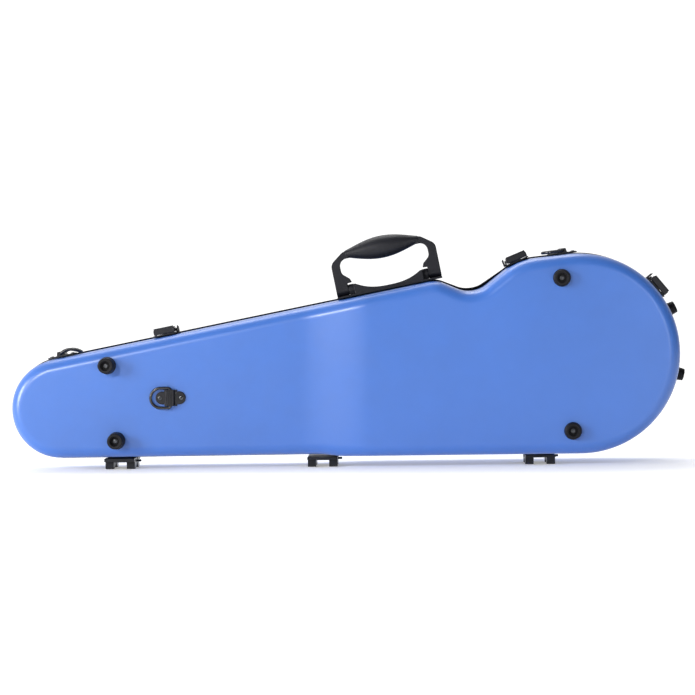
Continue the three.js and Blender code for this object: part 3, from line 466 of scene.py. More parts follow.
def shell_rings(shell, offset, steps):
    """Rings of a shell's skin from its edge to its face, each as (inset, depth function)."""
    side = shell["side"]
    rings = [(offset, lambda x: side * SHELL_EDGE)]
    radius = shell["round"] - offset
    for k in range(steps + 1):
        turn = math.pi / 2 * k / steps
        inset = shell["draft"] + offset + radius * (1 - math.cos(turn))
        back = shell["round"] - radius * math.sin(turn)
        rings.append((inset, lambda x, back=back: side * (depth_at(shell, x) - back)))
    inset = shell["draft"] + offset + radius + FACE_MARGIN
    rings.append((inset, lambda x: side * (depth_at(shell, x) - offset)))
    return rings


def lofted(builder, outline, rings):
    """A skin through rings that follow one outline, closed across its first and last ring."""
    count = len(outline)
    points = []
    for inset, depth in rings:
        for x, z, out_x, out_z in outline:
            px = x - out_x * inset
            points.append((px, depth(px), z - out_z * inset))
    faces = []
    for r in range(len(rings) - 1):
        faces += ring_faces(r * count, (r + 1) * count, count)
    faces += strip_faces(outline, 0)
    faces += strip_faces(outline, (len(rings) - 1) * count)
    add_mesh(builder, points, faces)


def banded(builder, outline, section, swell):
    """A closed band along an outline, with a closed section of (inset, depth) points that may swell out."""
    count = len(outline)
    points = []
    for inset, depth in section:
        for x, z, out_x, out_z in outline:
            reach = swell(x, out_z) - inset if inset < 0 else -inset
            points.append((x + out_x * reach, depth, z + out_z * reach))
    faces = []
    for r in range(len(section)):
        faces += ring_faces(r * count, (r + 1) % len(section) * count, count)
    add_mesh(builder, points, faces)


def lathed(builder, profile, transform, segments=48):
    """Turns a profile of (radius, height) about the local Z axis. It starts and ends on the axis."""
    points = []
    faces = []
    rows = []
    for radius, height in profile:
        if radius < 1e-6:
            rows.append([len(points)])
            points.append((0, 0, height))
        else:
            rows.append(list(range(len(points), len(points) + segments)))
            for k in range(segments):
                angle = 2 * math.pi * k / segments
                points.append((radius * math.cos(angle), radius * math.sin(angle), height))
    for low, high in zip(rows, rows[1:]):
        for k in range(segments):
            m = (k + 1) % segments
            face = [low[k % len(low)], low[m % len(low)], high[m % len(high)], high[k % len(high)]]
            faces.append(tuple(dict.fromkeys(face)))
    add_mesh(builder, points, faces, transform)


def inset_corners(corners, inset):
    """The same polygon with every side moved inward, and its corner radii changed to suit."""
    moved = []
    for i, (x, z, radius) in enumerate(corners):
        here = Vector((x, z))
        inward = (here - Vector(corners[i - 1][:2])).normalized()
        onward = (Vector(corners[(i + 1) % len(corners)][:2]) - here).normalized()
        first_out = Vector((-inward.y, inward.x))
        next_out = Vector((-onward.y, onward.x))
        place = here - (first_out + next_out) / (1 + first_out.dot(next_out)) * inset
        hollow = inward.x * onward.y - inward.y * onward.x > 0
        moved.append((place.x, place.y, max(0.02, radius + inset if hollow else radius - inset)))
    return moved


def slab(builder, corners, low, high, transform, radius=0.8, arc_step=12, steps=3):
    """A flat piece with a rounded outline in local x and z, from one local y to another, edges rounded."""
    count = len(rounded_outline(corners, arc_step))
    points = []
    levels = []
    for k in range(steps + 1):
        turn = math.pi / 2 * k / steps
        levels.append((radius * (1 - math.sin(turn)), low + radius * (1 - math.cos(turn))))
    levels += [(inset, high + low - y) for inset, y in reversed(levels)]
    for inset, y in levels:
        points += [(x, y, z) for x, z, _, _ in rounded_outline(inset_corners(corners, inset), arc_step)]
    faces = []
    for r in range(len(levels) - 1):
        faces += ring_faces(r * count, (r + 1) * count, count)
    faces.append(tuple(range(count)))
    faces.append(tuple(range((len(levels) - 1) * count, len(levels) * count)))
    add_mesh(builder, points, faces, transform)


def tube(builder, path, radius, transform=None, closed=False, sides=12, up=Vector((0, 1, 0))):
    """A round tube along a path of points in millimetres, with domed ends unless it is closed."""
    path = [Vector(point) for point in path]
    count = len(path)
    points = []
    for i, point in enumerate(path):
        before = path[i - 1] if closed or i else point
        after = path[(i + 1) % count] if closed or i + 1 < count else point
        along = (after - before).normalized()
        side = along.cross(up)
        side = side.normalized() if side.length > 1e-6 else along.orthogonal().normalized()
        over = side.cross(along)
        for k in range(sides):
            angle = 2 * math.pi * k / sides
            points.append(point + (side * math.cos(angle) + over * math.sin(angle)) * radius)
    faces = []
    for i in range(count if closed else count - 1):
        faces += ring_faces(i * sides, (i + 1) % count * sides, sides)
    if not closed:
        faces.append(tuple(range(sides)))
        faces.append(tuple(range((count - 1) * sides, count * sides)))
    add_mesh(builder, points, faces, transform)


def on_edge(x, z, angle, y=0.0):
    """A local frame on the side wall: X runs along the edge and Z points out of the wall."""
    turn = Matrix.Rotation(-angle, 4, "Y")
    return Matrix.Translation(spot(x, y, z)) @ turn


def on_back(x, z, depth):
    """A local frame on the back: Y points up and Z out of the back."""
    return Matrix.Translation(spot(x, -depth, z)) @ Matrix.Rotation(math.pi / 2, 4, "X")


def top_edge_at(x):
    return NARROW_TOP[1] + (x - NARROW_TOP[0]) * math.tan(TOP_EDGE_ANGLE)


def refined(node, material, radius):
    """A CAD node's shape with its flats merged and its edges rounded, in place of the node."""
    builder = bmesh.new()
    builder.from_mesh(frame["nodes"][node].data)
    bmesh.ops.remove_doubles(builder, verts=builder.verts, dist=1e-6)
    bmesh.ops.dissolve_limit(
        builder,
        angle_limit=math.radians(1.5),
        verts=builder.verts,
        edges=builder.edges,
    )
    edges = [e for e in builder.edges if len(e.link_faces) == 2 and e.calc_face_angle(0) > math.radians(35)]
    bmesh.ops.bevel(
        builder,
        geom=edges,
        offset=radius * MM,
        offset_type="OFFSET",
        segments=3,
        profile=0.5,
        affect="EDGES",
        clamp_overlap=True,
    )
    bmesh.ops.triangulate(builder, faces=[f for f in builder.faces if len(f.verts) > 4])
    body = frame["nodes"][node]["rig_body"]
    finish_mesh(f"{node}_shaped", builder, material, body, [node])


# ---------------------------------------------------------------- shells and rims

ramp_stations = [RAMP[0] + 3 * k for k in range(-4, 31)]
wall_stations = list(range(-340, -64, 14)) + ramp_stations + list(range(50, 210, 14)) + [230, 250]
case_outline = rounded_outline(CASE_CORNERS, 3.0, wall_stations)


def add_shell(name, shell, body):
    builder = bmesh.new()
    outer = shell_rings(shell, 0, 12)[::-1]
    inner = shell_rings(shell, WALL, 5)
    lofted(builder, case_outline, outer + inner)
    finish_mesh(f"{name}_moulding", builder, PAINT, body, [name], sharp=40)


add_shell("bottom_shell", BOTTOM, "case")
add_shell("lid_shell", LID, "lid")

RIM_PROUD, RIM_SEAM, RIM_REACH, RIM_INNER, RIM_LIP, RIM_WEB = 0.8, 0.4, 7.0, 5.0, 1.5, 1.3


def eased(value, start, end):
    """0 at the start and 1 at the end, with a soft step between."""
    share = min(1.0, max(0.0, (value - start) / (end - start)))
    return share * share * (3 - 2 * share)


def edge_swell(x, out_z):
    """The edging stands proud along the upper edge, most of all round the waist's rising side."""
    if out_z < 0:
        return 0.0
    along = eased(x, -352, -336) * eased(x, 262, 246)
    waist = eased(x, 122, 156) * eased(x, 188, 166)
    return 0.7 * along + 1.9 * waist


def add_rim(name, side, body):
    section = []
    for k in range(7):
        turn = math.pi / 2 * k / 6
        section.append((-RIM_PROUD + 0.9 * (1 - math.sin(turn)), RIM_SEAM + 0.9 * (1 - math.cos(turn))))
    for k in range(5):
        turn = math.pi / 2 * k / 4
        section.append((-RIM_PROUD + 0.35 * (1 - math.cos(turn)), RIM_REACH - 0.35 * (1 - math.sin(turn))))
    section += [
        (-0.3, RIM_REACH),
        (-0.3, RIM_SEAM + RIM_WEB),
        (RIM_INNER - RIM_LIP, RIM_SEAM + RIM_WEB),
        (RIM_INNER - RIM_LIP, RIM_REACH),
        (RIM_INNER - 0.3, RIM_REACH),
        (RIM_INNER, RIM_REACH - 0.3),
        (RIM_INNER, RIM_SEAM + 0.3),
        (RIM_INNER - 0.3, RIM_SEAM),
    ]
    builder = bmesh.new()
    banded(builder, case_outline, [(inset, side * depth) for inset, depth in section], edge_swell)
    finish_mesh(f"{name}_strip", builder, RIM_PLASTIC, body, [name])


add_rim("bottom_rim", -1, "case")
add_rim("lid_rim", 1, "lid")

# ---------------------------------------------------------------- handle

HANDLE_X, HANDLE_Y = 55.9, -22.0
PIVOT = 9.0
HUB = 6.0
HALF, LEG_INNER = 62.5, 47.8
TOWER_OUTER, TOWER_INNER = 47.2, 40.9
GRIP_HEIGHT, GRIP_HALF = 50.6, 45.0
handle_frame_spot = on_edge(HANDLE_X, top_edge_at(HANDLE_X), TOP_EDGE_ANGLE, HANDLE_Y)


def along_x(height):
    """Local Z of a lathe turned to point along the handle's X, at a height over the wall."""
    return handle_frame_spot @ Matrix.Translation((0, 0, height * MM)) @ Matrix.Rotation(math.pi / 2, 4, "Y")


def add_handle():
    # One arm from its hinge up to the grip, with a hooked knuckle over the base's tower.
    arm = [
        (HALF, PIVOT, 0.3),
        (HALF, 41.8, 9.5),
        (46.8, 53.3, 8),
        (40, 54.4, 0.5),
        (40, 45.4, 0.5),
        (52.4, 45.8, 9),
        (52.4, 28.8, 7),
        (44, 21.6, 4),
        (42.2, 16.9, 0.9),
        (LEG_INNER, 16.6, 0.6),
        (LEG_INNER, PIVOT, 0.3),
    ]
    builder = bmesh.new()
    for side in (-1, 1):
        corners = [(side * u, v, r) for u, v, r in arm]
        slab(builder, corners[::-side], -HUB, HUB, handle_frame_spot, 0.9, 9, 4)
        start, end = LEG_INNER, HALF
        hub = [(0, start), (HUB + 0.1, start), (HUB + 0.3, start + 0.3), (HUB + 0.3, end - 0.4)]
        hub += [(HUB, end - 0.1), (HUB - 0.5, end), (0, end)]
        lathed(builder, [(r, side * h) for r, h in hub], along_x(PIVOT))
    bar = [(-42, 49, 0.4), (-42, 52.2, 0.4), (42, 52.2, 0.4), (42, 49, 0.4)]
    slab(builder, bar, -2.2, 2.2, handle_frame_spot, 0.4)
    finish_mesh("handle_arms", builder, MOULDED, "handle", ["handle_frame"])

    # The grip is a crowned lens: round at the middle and flat at the ends, like the arms that it meets.
    builder = bmesh.new()
    stations, sides = 64, 64
    points = []
    for i in range(stations + 1):
        along = -1 + 2 * i / stations
        crown = math.cos(along * math.pi / 2 * 0.985) ** 1.12
        end = 1 - 0.3 * max(0.0, (abs(along) - 0.96) / 0.04) ** 2
        for k in range(sides):
            angle = 2 * math.pi * k / sides
            reach_y = (6.0 + 7.2 * crown) * end * math.cos(angle)
            reach_z = (3.6 + 9.6 * crown) * end * math.sin(angle)
            points.append((along * GRIP_HALF, reach_y, GRIP_HEIGHT + reach_z))
    faces = []
    for i in range(stations):
        faces += ring_faces(i * sides, (i + 1) * sides, sides)
    faces.append(tuple(range(sides)))
    faces.append(tuple(range(stations * sides, (stations + 1) * sides)))
    add_mesh(builder, points, faces, handle_frame_spot)
    finish_mesh("handle_soft_grip", builder, SOFT_GRIP, "handle", ["handle_grip"], sharp=50)

    # Base: a saddle between two hinge towers that are round about the pivot, on end plates.
    builder = bmesh.new()
    reach = TOWER_INNER + 0.3
    saddle = [(-reach, 0.35, 0.3)]
    for k in range(31):
        u = -reach + 2 * reach * k / 30
        saddle.append((u, 5.2 + 9.4 * min(1.0, abs(u) / 39) ** 2.6, 0.2))
    saddle.append((reach, 0.35, 0.3))
    slab(builder, saddle, -13.3, 13.3, handle_frame_spot, 1.0, 20, 4)
    plate = [(-HALF, 0.35, 0.3), (-HALF, 2.6, 0.8), (HALF, 2.6, 0.8), (HALF, 0.35, 0.3)]
    slab(builder, plate, -13.4, 13.4, handle_frame_spot, 0.4)
    tower = [(13.3, 0.35, 0.3), (13.3, 2.6, 0.8), (8.6, 3.6, 2), (6.2, 7, 3), (6, PIVOT + HUB, 5.4)]
    profile = [(-y, v, r) for y, v, r in tower] + tower[::-1]
    turned = handle_frame_spot @ Matrix.Rotation(math.pi / 2, 4, "Z")
    for side in (-1, 1):
        start, end = sorted((side * TOWER_INNER, side * TOWER_OUTER))
        slab(builder, profile, start, end, turned, 0.5, 10)
    finish_mesh("handle_saddle", builder, MOULDED, "case", ["handle_base"])


add_handle()

for pin in ("left", "right"):
    side = -1 if pin == "left" else 1
    builder = bmesh.new()
    start, end = TOWER_INNER + 2, HALF - 0.5
    # A collar on each pin fills the gap between the base's tower and the arm.
    near, far = TOWER_OUTER + 0.02, LEG_INNER - 0.08
    pin_profile = [(0, start), (1.6, start), (2, start + 0.4), (2, near), (5.8, near), (5.8, far), (2, far)]
    pin_profile += [(2, end - 0.4), (1.6, end), (0, end)]
    lathed(builder, [(r, side * h) for r, h in pin_profile], along_x(PIVOT), 32)
    finish_mesh(f"handle_pin_{pin}_turned", builder, DARK_STEEL, "case", [f"handle_pin_{pin}"])

# ---------------------------------------------------------------- feet


def screw_head(builder, transform, radius, low, height=1.6):
    """A domed screw head with a round socket."""
    top = low + height
    profile = [(0, low), (radius, low), (radius, low + height * 0.45)]
    for k in range(1, 6):
        turn = math.pi / 2 * k / 5
        reach = radius * (0.52 + 0.48 * math.cos(turn))
        profile.append((reach, low + height * (0.45 + 0.55 * math.sin(turn))))
    profile += [(radius * 0.44, top), (radius * 0.38, top - 0.15), (radius * 0.36, top - height * 0.7)]
    profile.append((0, top - height * 0.75))
    lathed(builder, profile, transform, 32)


def foot_profile(base, tip, height, hole, recess):
    """A tapered rubber foot: base flange, ribbed side, rounded rim and a stepped recess."""
    profile = [(0, 0.35), (base - 0.3, 0.35), (base, 0.6), (base, 1.3), (base - 0.4, 1.7)]
    ribs = max(2, round((height - 4) / 2.2))
    for k in range(ribs):
        low = 1.7 + (height - 3.4) * k / ribs
        high = 1.7 + (height - 3.4) * (k + 1) / ribs
        for share, groove in ((0.1, 0.0), (0.62, 0.0), (0.74, 0.35), (0.88, 0.35), (1.0, 0.0)):
            level = low + (high - low) * share
            taper = (level - 1.7) / (height - 1.7)
            profile.append((base - 0.4 + (tip - base + 0.4) * taper - groove, level))
    for k in range(1, 7):
        turn = math.pi / 2 * k / 6
        profile.append((tip - 1.2 + 1.2 * math.cos(turn), height - 1.2 + 1.2 * math.sin(turn)))
    profile += [(hole + 1.2, height), (hole + 0.6, height - 0.25), (hole + 0.3, height - 0.9)]
    profile += [(hole, height - 1.2), (hole, height - recess + 0.3), (hole - 0.3, height - recess)]
    profile.append((0, height - recess))
    return profile


def add_foot(name, transform, foot, height):
    recess = min(foot["recess"], height - 3)
    builder = bmesh.new()
    lathed(builder, foot_profile(foot["base"], foot["tip"], height, foot["hole"], recess), transform, 64)
    finish_mesh(f"{name}_rubber", builder, RUBBER, "case", [name])
    builder = bmesh.new()
    screw_head(builder, transform, foot["screw"], height - recess + 0.02)
    finish_mesh(f"{name}_screw", builder, PALE_STEEL, "case", [f"screw_{name}"])


BACK_FOOT = {"base": 10.2, "tip": 9.1, "hole": 5.2, "recess": 6.0, "screw": 2.76}
END_FOOT = {"base": 8.0, "tip": 7.0, "hole": 3.6, "recess": 4.0, "screw": 1.86}
END_FOOT_HEIGHT, END_FOOT_SUNK = 9.0, 0.5
SIDE_Y = -20.0  # the end feet and the side strap rings are this far from the seam

for name in ("foot_neck_upper", "foot_neck_lower", "foot_body_upper", "foot_body_lower"):
    low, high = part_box(name)
    x = (low.x + high.x) / 2 / MM - SHIFT_X
    z = (low.z + high.z) / 2 / MM
    depth = depth_at(BOTTOM, x)
    height = SHIFT_Y - low.y / MM - depth
    add_foot(name, on_back(x, z, depth), BACK_FOOT, height)

for name, angle in (("end_foot_upper", math.radians(25)), ("end_foot_lower", math.radians(-12.3))):
    reach = WIDE_END[2] - END_FOOT_SUNK
    x = WIDE_END[0] + reach * math.cos(angle)
    z = WIDE_END[1] + reach * math.sin(angle)
    add_foot(name, on_edge(x, z, angle - math.pi / 2, SIDE_Y), END_FOOT, END_FOOT_HEIGHT)

# ---------------------------------------------------------------- strap rings

WIRE, HALF_BAR, RING_REACH, RING_AXIS = 1.75, 11.5, 23.0, 4.0
LOBE_AT, LOBE_RADIUS, LOBE_TOP = 10.0, 7.6, 2.05
BACK_RING = (-201.4, 84.6)
NECK_RING_X, BODY_RING_X = -331.7, 258.0
NECK_RING_RISE = 4.0


def add_strap_ring(name, transform, direction, rise):
    """A pressed plate with a screw in each lobe, and a D of wire that turns in the plate's bridge."""
    builder = bmesh.new()
    for side in (-1, 1):
        lobe = transform @ Matrix.Translation((side * LOBE_AT * MM, 0, 0))
        profile = [(0, 0.35), (LOBE_RADIUS, 0.35), (LOBE_RADIUS, 1.1)]
        for k in range(1, 6):
            turn = math.pi / 2 * k / 5
            profile.append((LOBE_RADIUS - 0.9 + 0.9 * math.cos(turn), 1.1 + 0.9 * math.sin(turn)))
        lathed(builder, [*profile, (3.4, LOBE_TOP), (0, LOBE_TOP)], lobe, 48)
    # The bridge is pressed in upright ribs over the ring's bar.
    bridge = [(-7.5, 0.35, 0.1), (-7.5, 1.7, 0.5), (-5.2, 2.2, 0.8), (-4.3, 6.0, 1.0)]
    for rib in range(4):
        middle = -3.15 + 2.1 * rib
        bridge += [(middle - 0.75, 6.7, 0.3), (middle + 0.75, 6.7, 0.3)]
        bridge.append((middle + 1.05, 5.8 if rib < 3 else 6.0, 0.2))
    bridge += [(4.4, 5.9, 0.4), (5.2, 2.2, 0.8), (7.5, 1.7, 0.5), (7.5, 0.35, 0.1)]
    slab(builder, bridge, -9.4, 9.4, transform, 0.15)
    finish_mesh(f"ring_plate_{name}", builder, BLACK_METAL, "case", [f"strap_ring_plate_{name}"])
    builder = bmesh.new()
    for side in (-1, 1):
        screw_head(builder, transform @ Matrix.Translation((side * 12.4 * MM, 0, 0)), 2.4, 1.6, 1.5)
    finish_mesh(f"ring_screws_{name}", builder, PALE_STEEL, "case")
    bow = RING_REACH - HALF_BAR
    path = [(0, -HALF_BAR + 3 + (2 * HALF_BAR - 6) * k / 12) for k in range(13)]
    for k in range(1, 7):
        turn = math.pi / 2 * k / 6
        path.append((2.6 * (1 - math.cos(turn)), HALF_BAR - 3 + 3 * math.sin(turn)))
    path += [(2.6 + (bow - 2.6) * k / 5, HALF_BAR) for k in range(1, 5)]
    for k in range(33):
        turn = math.pi / 2 - math.pi * k / 32
        path.append((bow + HALF_BAR * math.cos(turn), HALF_BAR * math.sin(turn)))
    path += [(bow - (bow - 2.6) * k / 5, -HALF_BAR) for k in range(1, 5)]
    for k in range(6):
        turn = math.pi / 2 * (1 - k / 6)
        path.append((2.6 * (1 - math.cos(turn)), -HALF_BAR + 3 - 3 * math.sin(turn)))
    points = []
    for along, across in path:
        share = along / RING_REACH
        lift = rise * (math.sin(math.pi * share ** 0.85) - 0.5 * share)
        points.append((direction * along, across, RING_AXIS + lift))
    builder = bmesh.new()
    tube(builder, points, WIRE, transform, closed=True, sides=16, up=Vector((0, 0, 1)))
    finish_mesh(f"ring_wire_{name}", builder, WIRE_STEEL, f"ring_{name}", [f"strap_ring_{name}"])


add_strap_ring("back", on_back(*BACK_RING, BOTTOM["neck"]), -1, 0)
neck_ring_spot = on_edge(NECK_RING_X, top_edge_at(NECK_RING_X), TOP_EDGE_ANGLE, SIDE_Y)
add_strap_ring("neck", neck_ring_spot, 1, NECK_RING_RISE)
body_ring_z = SHOULDER[1] + (BODY_RING_X - SHOULDER[0]) * math.tan(BODY_EDGE_ANGLE)
add_strap_ring("body", on_edge(BODY_RING_X, body_ring_z, BODY_EDGE_ANGLE, SIDE_Y), -1, 0)

# ---------------------------------------------------------------- hinges and latches

for number in (1, 2, 3):
    refined(f"hinge_leaf_back_{number}", BLACK_METAL, 0.6)
    refined(f"hinge_leaf_lid_{number}", BLACK_METAL, 0.6)
    low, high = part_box(f"hinge_pin_{number}")
    builder = bmesh.new()
    middle = (low + high) / 2
    axis = Matrix.Translation((low.x, middle.y, middle.z)) @ Matrix.Rotation(math.pi / 2, 4, "Y")
    length = (high.x - low.x) / MM
    pin_profile = [(0, 0), (1.0, 0), (1.4, 0.4), (1.4, length - 0.7), (1.0, length - 0.1), (0, length)]
    lathed(builder, pin_profile, axis, 32)
    finish_mesh(f"hinge_pin_{number}_turned", builder, DARK_STEEL, "case", [f"hinge_pin_{number}"])
    refined(f"latch_base_{number}", BLACK_METAL, 0.35)
    refined(f"latch_lever_{number}", BLACK_METAL, 0.5)
    refined(f"latch_bail_{number}", DARK_STEEL, 0.4)
    refined(f"latch_keeper_{number}", BLACK_METAL, 0.35)

# A rounded finger lip closes the far end of each latch's lever.
LATCH_FAR, LIP_HALF = -32.0, 12.6
NECK_LATCH_X = -209.0
WIDE_LATCH_ANGLE = math.radians(39.4)
waist_rise_angle = math.atan2(SHOULDER[1] - WAIST[1], SHOULDER[0] - WAIST[0])
shoulder_angle = (waist_rise_angle + BODY_EDGE_ANGLE) / 2
shoulder_inset = SHOULDER[2] * (1 / math.cos((waist_rise_angle - BODY_EDGE_ANGLE) / 2) - 1)
latch_spots = [
    (NECK_LATCH_X, top_edge_at(NECK_LATCH_X), TOP_EDGE_ANGLE),
    (
        SHOULDER[0] + shoulder_inset * math.sin(shoulder_angle),
        SHOULDER[1] - shoulder_inset * math.cos(shoulder_angle),
        shoulder_angle,
    ),
    (
        WIDE_END[0] + WIDE_END[2] * math.cos(WIDE_LATCH_ANGLE),
        WIDE_END[1] + WIDE_END[2] * math.sin(WIDE_LATCH_ANGLE),
        WIDE_LATCH_ANGLE - math.pi / 2,
    ),
]
for number, (x, z, angle) in enumerate(latch_spots, 1):
    builder = bmesh.new()
    lip = [(-LIP_HALF, 2.1, 1.2), (-LIP_HALF, 9.0, 2.6), (LIP_HALF, 9.0, 2.6), (LIP_HALF, 2.1, 1.2)]
    slab(builder, lip, LATCH_FAR - 1.9, LATCH_FAR + 0.6, on_edge(x, z, angle), 0.9)
    finish_mesh(f"latch_lip_{number}", builder, BLACK_METAL, f"lever_{number}")

# ---------------------------------------------------------------- bow fittings

for name in ("upper", "lower"):
    refined(f"bow_holder_{name}", MOULDED, 0.8)
    refined(f"bow_toggle_{name}", MOULDED, 0.6)

# ---------------------------------------------------------------- padding


def softened(node, name, voxel, rounds, material, swell=None):
    """A voxel-remeshed and smoothed copy of a padded CAD solid, in place of the solid."""
    source = frame["nodes"][node]
    mesh = source.data.copy()
    mesh.name = name
    piece = bpy.data.objects.new(name, mesh)
    bpy.context.scene.collection.objects.link(piece)
    remesh = piece.modifiers.new("remesh", "REMESH")
    remesh.mode = "VOXEL"
    remesh.voxel_size = voxel * MM
    smooth = piece.modifiers.new("smooth", "SMOOTH")
    smooth.iterations = rounds
    smooth.factor = 0.5
    apply_modifiers(piece)
    if swell:
        swollen(piece, *swell)
    piece.data.shade_smooth()
    piece.data.materials.clear()
    piece.data.materials.append(material)
    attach(piece, source["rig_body"])
    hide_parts(node)


def apply_modifiers(piece):
    depsgraph = bpy.context.evaluated_depsgraph_get()
    made = bpy.data.meshes.new_from_object(piece.evaluated_get(depsgraph), depsgraph=depsgraph)
    piece.modifiers.clear()
    piece.data = made


def swollen(piece, pressure, cap):
    """Inflates a cushion with cloth simulation. Its lowest quarter, on the case's back, stays still."""
    start = [vertex.co.copy() for vertex in piece.data.vertices]
    group = piece.vertex_groups.new(name="held")
    lowest = min(point.y for point in start)
    highest = max(point.y for point in start)
    held_below = lowest + (highest - lowest) / 4
    held = [vertex.index for vertex in piece.data.vertices if vertex.co.y < held_below]
    group.add(held, 1.0, "REPLACE")
    cloth = piece.modifiers.new("cloth", "CLOTH")
    cloth.settings.use_pressure = True
    cloth.settings.uniform_pressure_force = pressure
    cloth.settings.effector_weights.gravity = 0
    cloth.settings.vertex_group_mass = "held"
    cloth.settings.quality = 5
    scene = bpy.context.scene
    for number in range(1, 21):
        scene.frame_set(number)
    apply_modifiers(piece)
    scene.frame_set(1)
    for vertex, place in zip(piece.data.vertices, start):
        move = vertex.co - place
        if move.length > cap * MM:
            vertex.co = place + move.normalized() * cap * MM
    piece.vertex_groups.clear()
    for _ in range(2):
        smooth = piece.modifiers.new("smooth", "SMOOTH")
        smooth.iterations = 2
        apply_modifiers(piece)


softened("bottom_liner", "bottom_padding", 3.2, 3, PLUSH)
softened("lid_liner", "lid_padding", 3.2, 3, PLUSH)
softened("neck_rest", "neck_cushion", 2.0, 3, PLUSH, swell=(3.0, 1.6))
softened("compartment_cover", "compartment_lid", 1.2, 2, PLUSH)


def ribbon(builder, path, half_width, thickness, transform):
    """A flat strap along a path of (y, z) points, with rounded long edges. Its width is local x."""
    edge = thickness / 2
    section = []
    for side in (1, -1):
        for k in range(7):
            turn = side * (math.pi / 2 - math.pi * k / 6)
            section.append((side * (half_width - edge) + edge * math.cos(turn), edge * math.sin(turn)))
    count = len(section)
    points = []
    for i, (y, z) in enumerate(path):
        before = path[max(i - 1, 0)]
        after = path[min(i + 1, len(path) - 1)]
        along = Vector((after[0] - before[0], after[1] - before[1])).normalized()
        for across, over in section:
            points.append((across, y + along.y * over, z - along.x * over))
    faces = []
    for i in range(len(path) - 1):
        faces += ring_faces(i * count, (i + 1) * count, count)
    faces.append(tuple(range(count)))
    faces.append(tuple(range((len(path) - 1) * count, len(path) * count)))
    add_mesh(builder, points, faces, transform)


def stitch_row(builder, places):
    """Short stitches along a row of places in metres, each a little bead of thread."""
    for start, end in zip(places[::2], places[1::2]):
        bead = [point / MM for point in (start, (start + end) / 2, end)]
        tube(builder, bead, STITCH_RADIUS, Matrix(), sides=6)


# The neck strap: two webbing ends that overlap over the neck, with a strip of hook tape between them.
STITCH_RADIUS = 0.35
BED_LEAN = math.radians(5.1)
strap_low, strap_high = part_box("neck_strap")
strap_middle = (strap_low + strap_high) / 2 / MM
strap_spot = on_edge(strap_middle.x - SHIFT_X, strap_middle.z, BED_LEAN)
STRAP_HALF, STRAP_SPAN, STRAP_RISE, STRAP_LOW = 13.0, 44.0, 14.0, -7.2


def strap_path(start, end, lift, step=2.0):
    count = round(abs(end - start) / step)
    path = []
    for k in range(count + 1):
        across = start + (end - start) * k / count
        rise = STRAP_RISE * max(0.0, math.cos(across / (STRAP_SPAN - 8) * math.pi / 2))
        path.append((STRAP_LOW + 1 + lift + rise, across))
    return path


builder = bmesh.new()
ribbon(builder, strap_path(-STRAP_SPAN, 14, 0), STRAP_HALF, 1.8, strap_spot)
ribbon(builder, strap_path(STRAP_SPAN, -10, 2.4), STRAP_HALF - 0.4, 1.8, strap_spot)
finish_mesh("neck_strap_webbing", builder, WEBBING, "case", ["neck_strap"], weighted=False)
builder = bmesh.new()
ribbon(builder, strap_path(12, -8, 1.2), STRAP_HALF - 1.5, 0.8, strap_spot)
finish_mesh("neck_strap_hook_tape", builder, HOOK_TAPE, "case", weighted=False)
builder = bmesh.new()
for across, lift in ((-41, 1.0), (-38.5, 1.0), (41, 3.4), (38.5, 3.4), (-7, 3.4)):
    height = strap_path(across, across + 0.1, lift, 0.1)[0][0]
    row = [strap_spot @ (Vector((x, height, across)) * MM) for x in range(-11, 12)]
    stitch_row(builder, row)
finish_mesh("neck_strap_stitches", builder, THREAD, "case", weighted=False)

# Piping round the bed's edge and the compartment's cover, and a pull tab on the cover.
BED_END = (379, 137)
BED_CORNERS = [(0, 106, 98), (-158, 106, 50), (-190, 68, 36), (-236, 68, 36), (-268, 86, 40), (-362, 86, 66)]
COVER_CORNERS = [(-376, 34, 38), (-376, 114, 38), (-242, 139.5, 8), (-242, 26, 8)]
PADDING_EDGE = -7.5


def bed_corner(along, across, radius):
    cos, sin = math.cos(BED_LEAN), math.sin(BED_LEAN)
    return (BED_END[0] + along * cos - across * sin, BED_END[1] + along * sin + across * cos, radius)


def piping(name, outline, y, radius, body):
    builder = bmesh.new()
    tube(builder, [(x, y, z) for x, z, _, _ in outline], radius, None, closed=True, sides=12)
    finish_mesh(name, builder, PIPING, body, weighted=False)


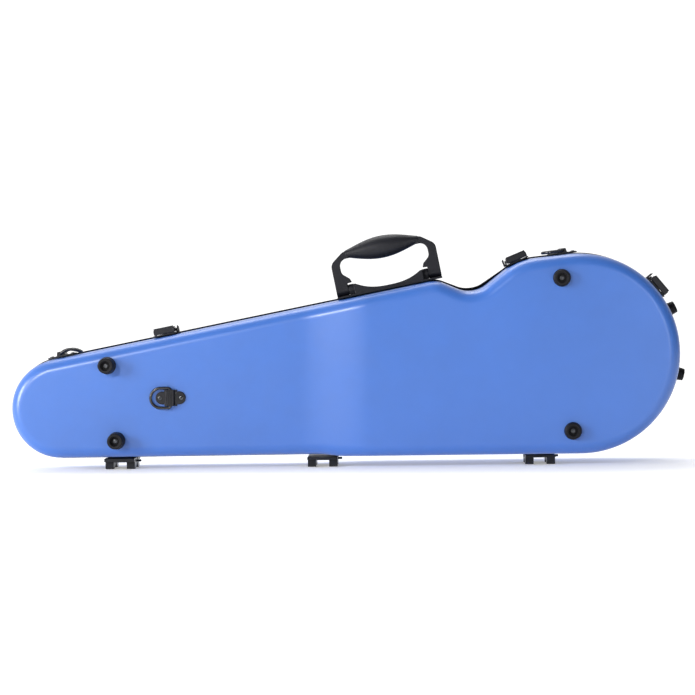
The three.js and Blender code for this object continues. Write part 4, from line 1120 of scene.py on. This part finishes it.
upper_side = [bed_corner(*corner) for corner in BED_CORNERS]
lower_side = [bed_corner(along, -across, radius) for along, across, radius in BED_CORNERS]
bed_outline = rounded_outline(lower_side + upper_side[::-1], 5)
piping("bed_piping", bed_outline, PADDING_EDGE - 0.4, 1.5, "case")
cover_low, cover_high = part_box("compartment_cover")
cover_outline = rounded_outline(COVER_CORNERS, 5)
piping("cover_piping", cover_outline, cover_high.y / MM - SHIFT_Y - 1.4, 1.5, "cover")
tab_spot = Matrix.Translation(spot(-300, 0, 0))
tab_z = cover_low.z / MM + 5
builder = bmesh.new()
tab = [(-6.2, tab_z + 16), (-3.4, tab_z + 12), (-2.6, tab_z + 4), (-2.9, tab_z - 3)]
ribbon(builder, tab, 7, 1.2, tab_spot)
finish_mesh("cover_pull_tab", builder, WEBBING, "cover", weighted=False)

# Sewn sleeves for the bows' tips, with a bound mouth.
for name in ("upper", "lower"):
    node = f"bow_tip_pocket_{name}"
    softened(node, f"{node}_sleeve", 0.9, 4, POCKET_CLOTH)
    low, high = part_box(node)
    x = high.x / MM - SHIFT_X - 1.2
    near, far = low.y / MM - SHIFT_Y + 0.9, high.y / MM - SHIFT_Y - 0.9
    bottom, top = low.z / MM + 0.9, high.z / MM - 0.9
    mouth = rounded_outline([(near, bottom, 2.5), (near, top, 2.5), (far, top, 2.5), (far, bottom, 2.5)], 15)
    builder = bmesh.new()
    tube(builder, [(x, y, z) for y, z, _, _ in mouth], 1.3, None, True, 10, Vector((1, 0, 0)))
    finish_mesh(f"{node}_binding", builder, PIPING, "lid", weighted=False)

# ---------------------------------------------------------------- floor and finish

FLOOR_HALF, FLOOR_GAP = 12.0, 0.0002  # metres
floor_builder = bmesh.new()
bmesh.ops.create_grid(floor_builder, x_segments=24, y_segments=24, size=FLOOR_HALF)
floor_mesh = bpy.data.meshes.new("floor")
floor_builder.to_mesh(floor_mesh)
floor_builder.free()
floor_piece = bpy.data.objects.new("floor", floor_mesh)
floor_piece.location = (0, 0, -FLOOR_GAP)
bpy.context.scene.collection.objects.link(floor_piece)
floor_mesh.materials.append(floor_material())
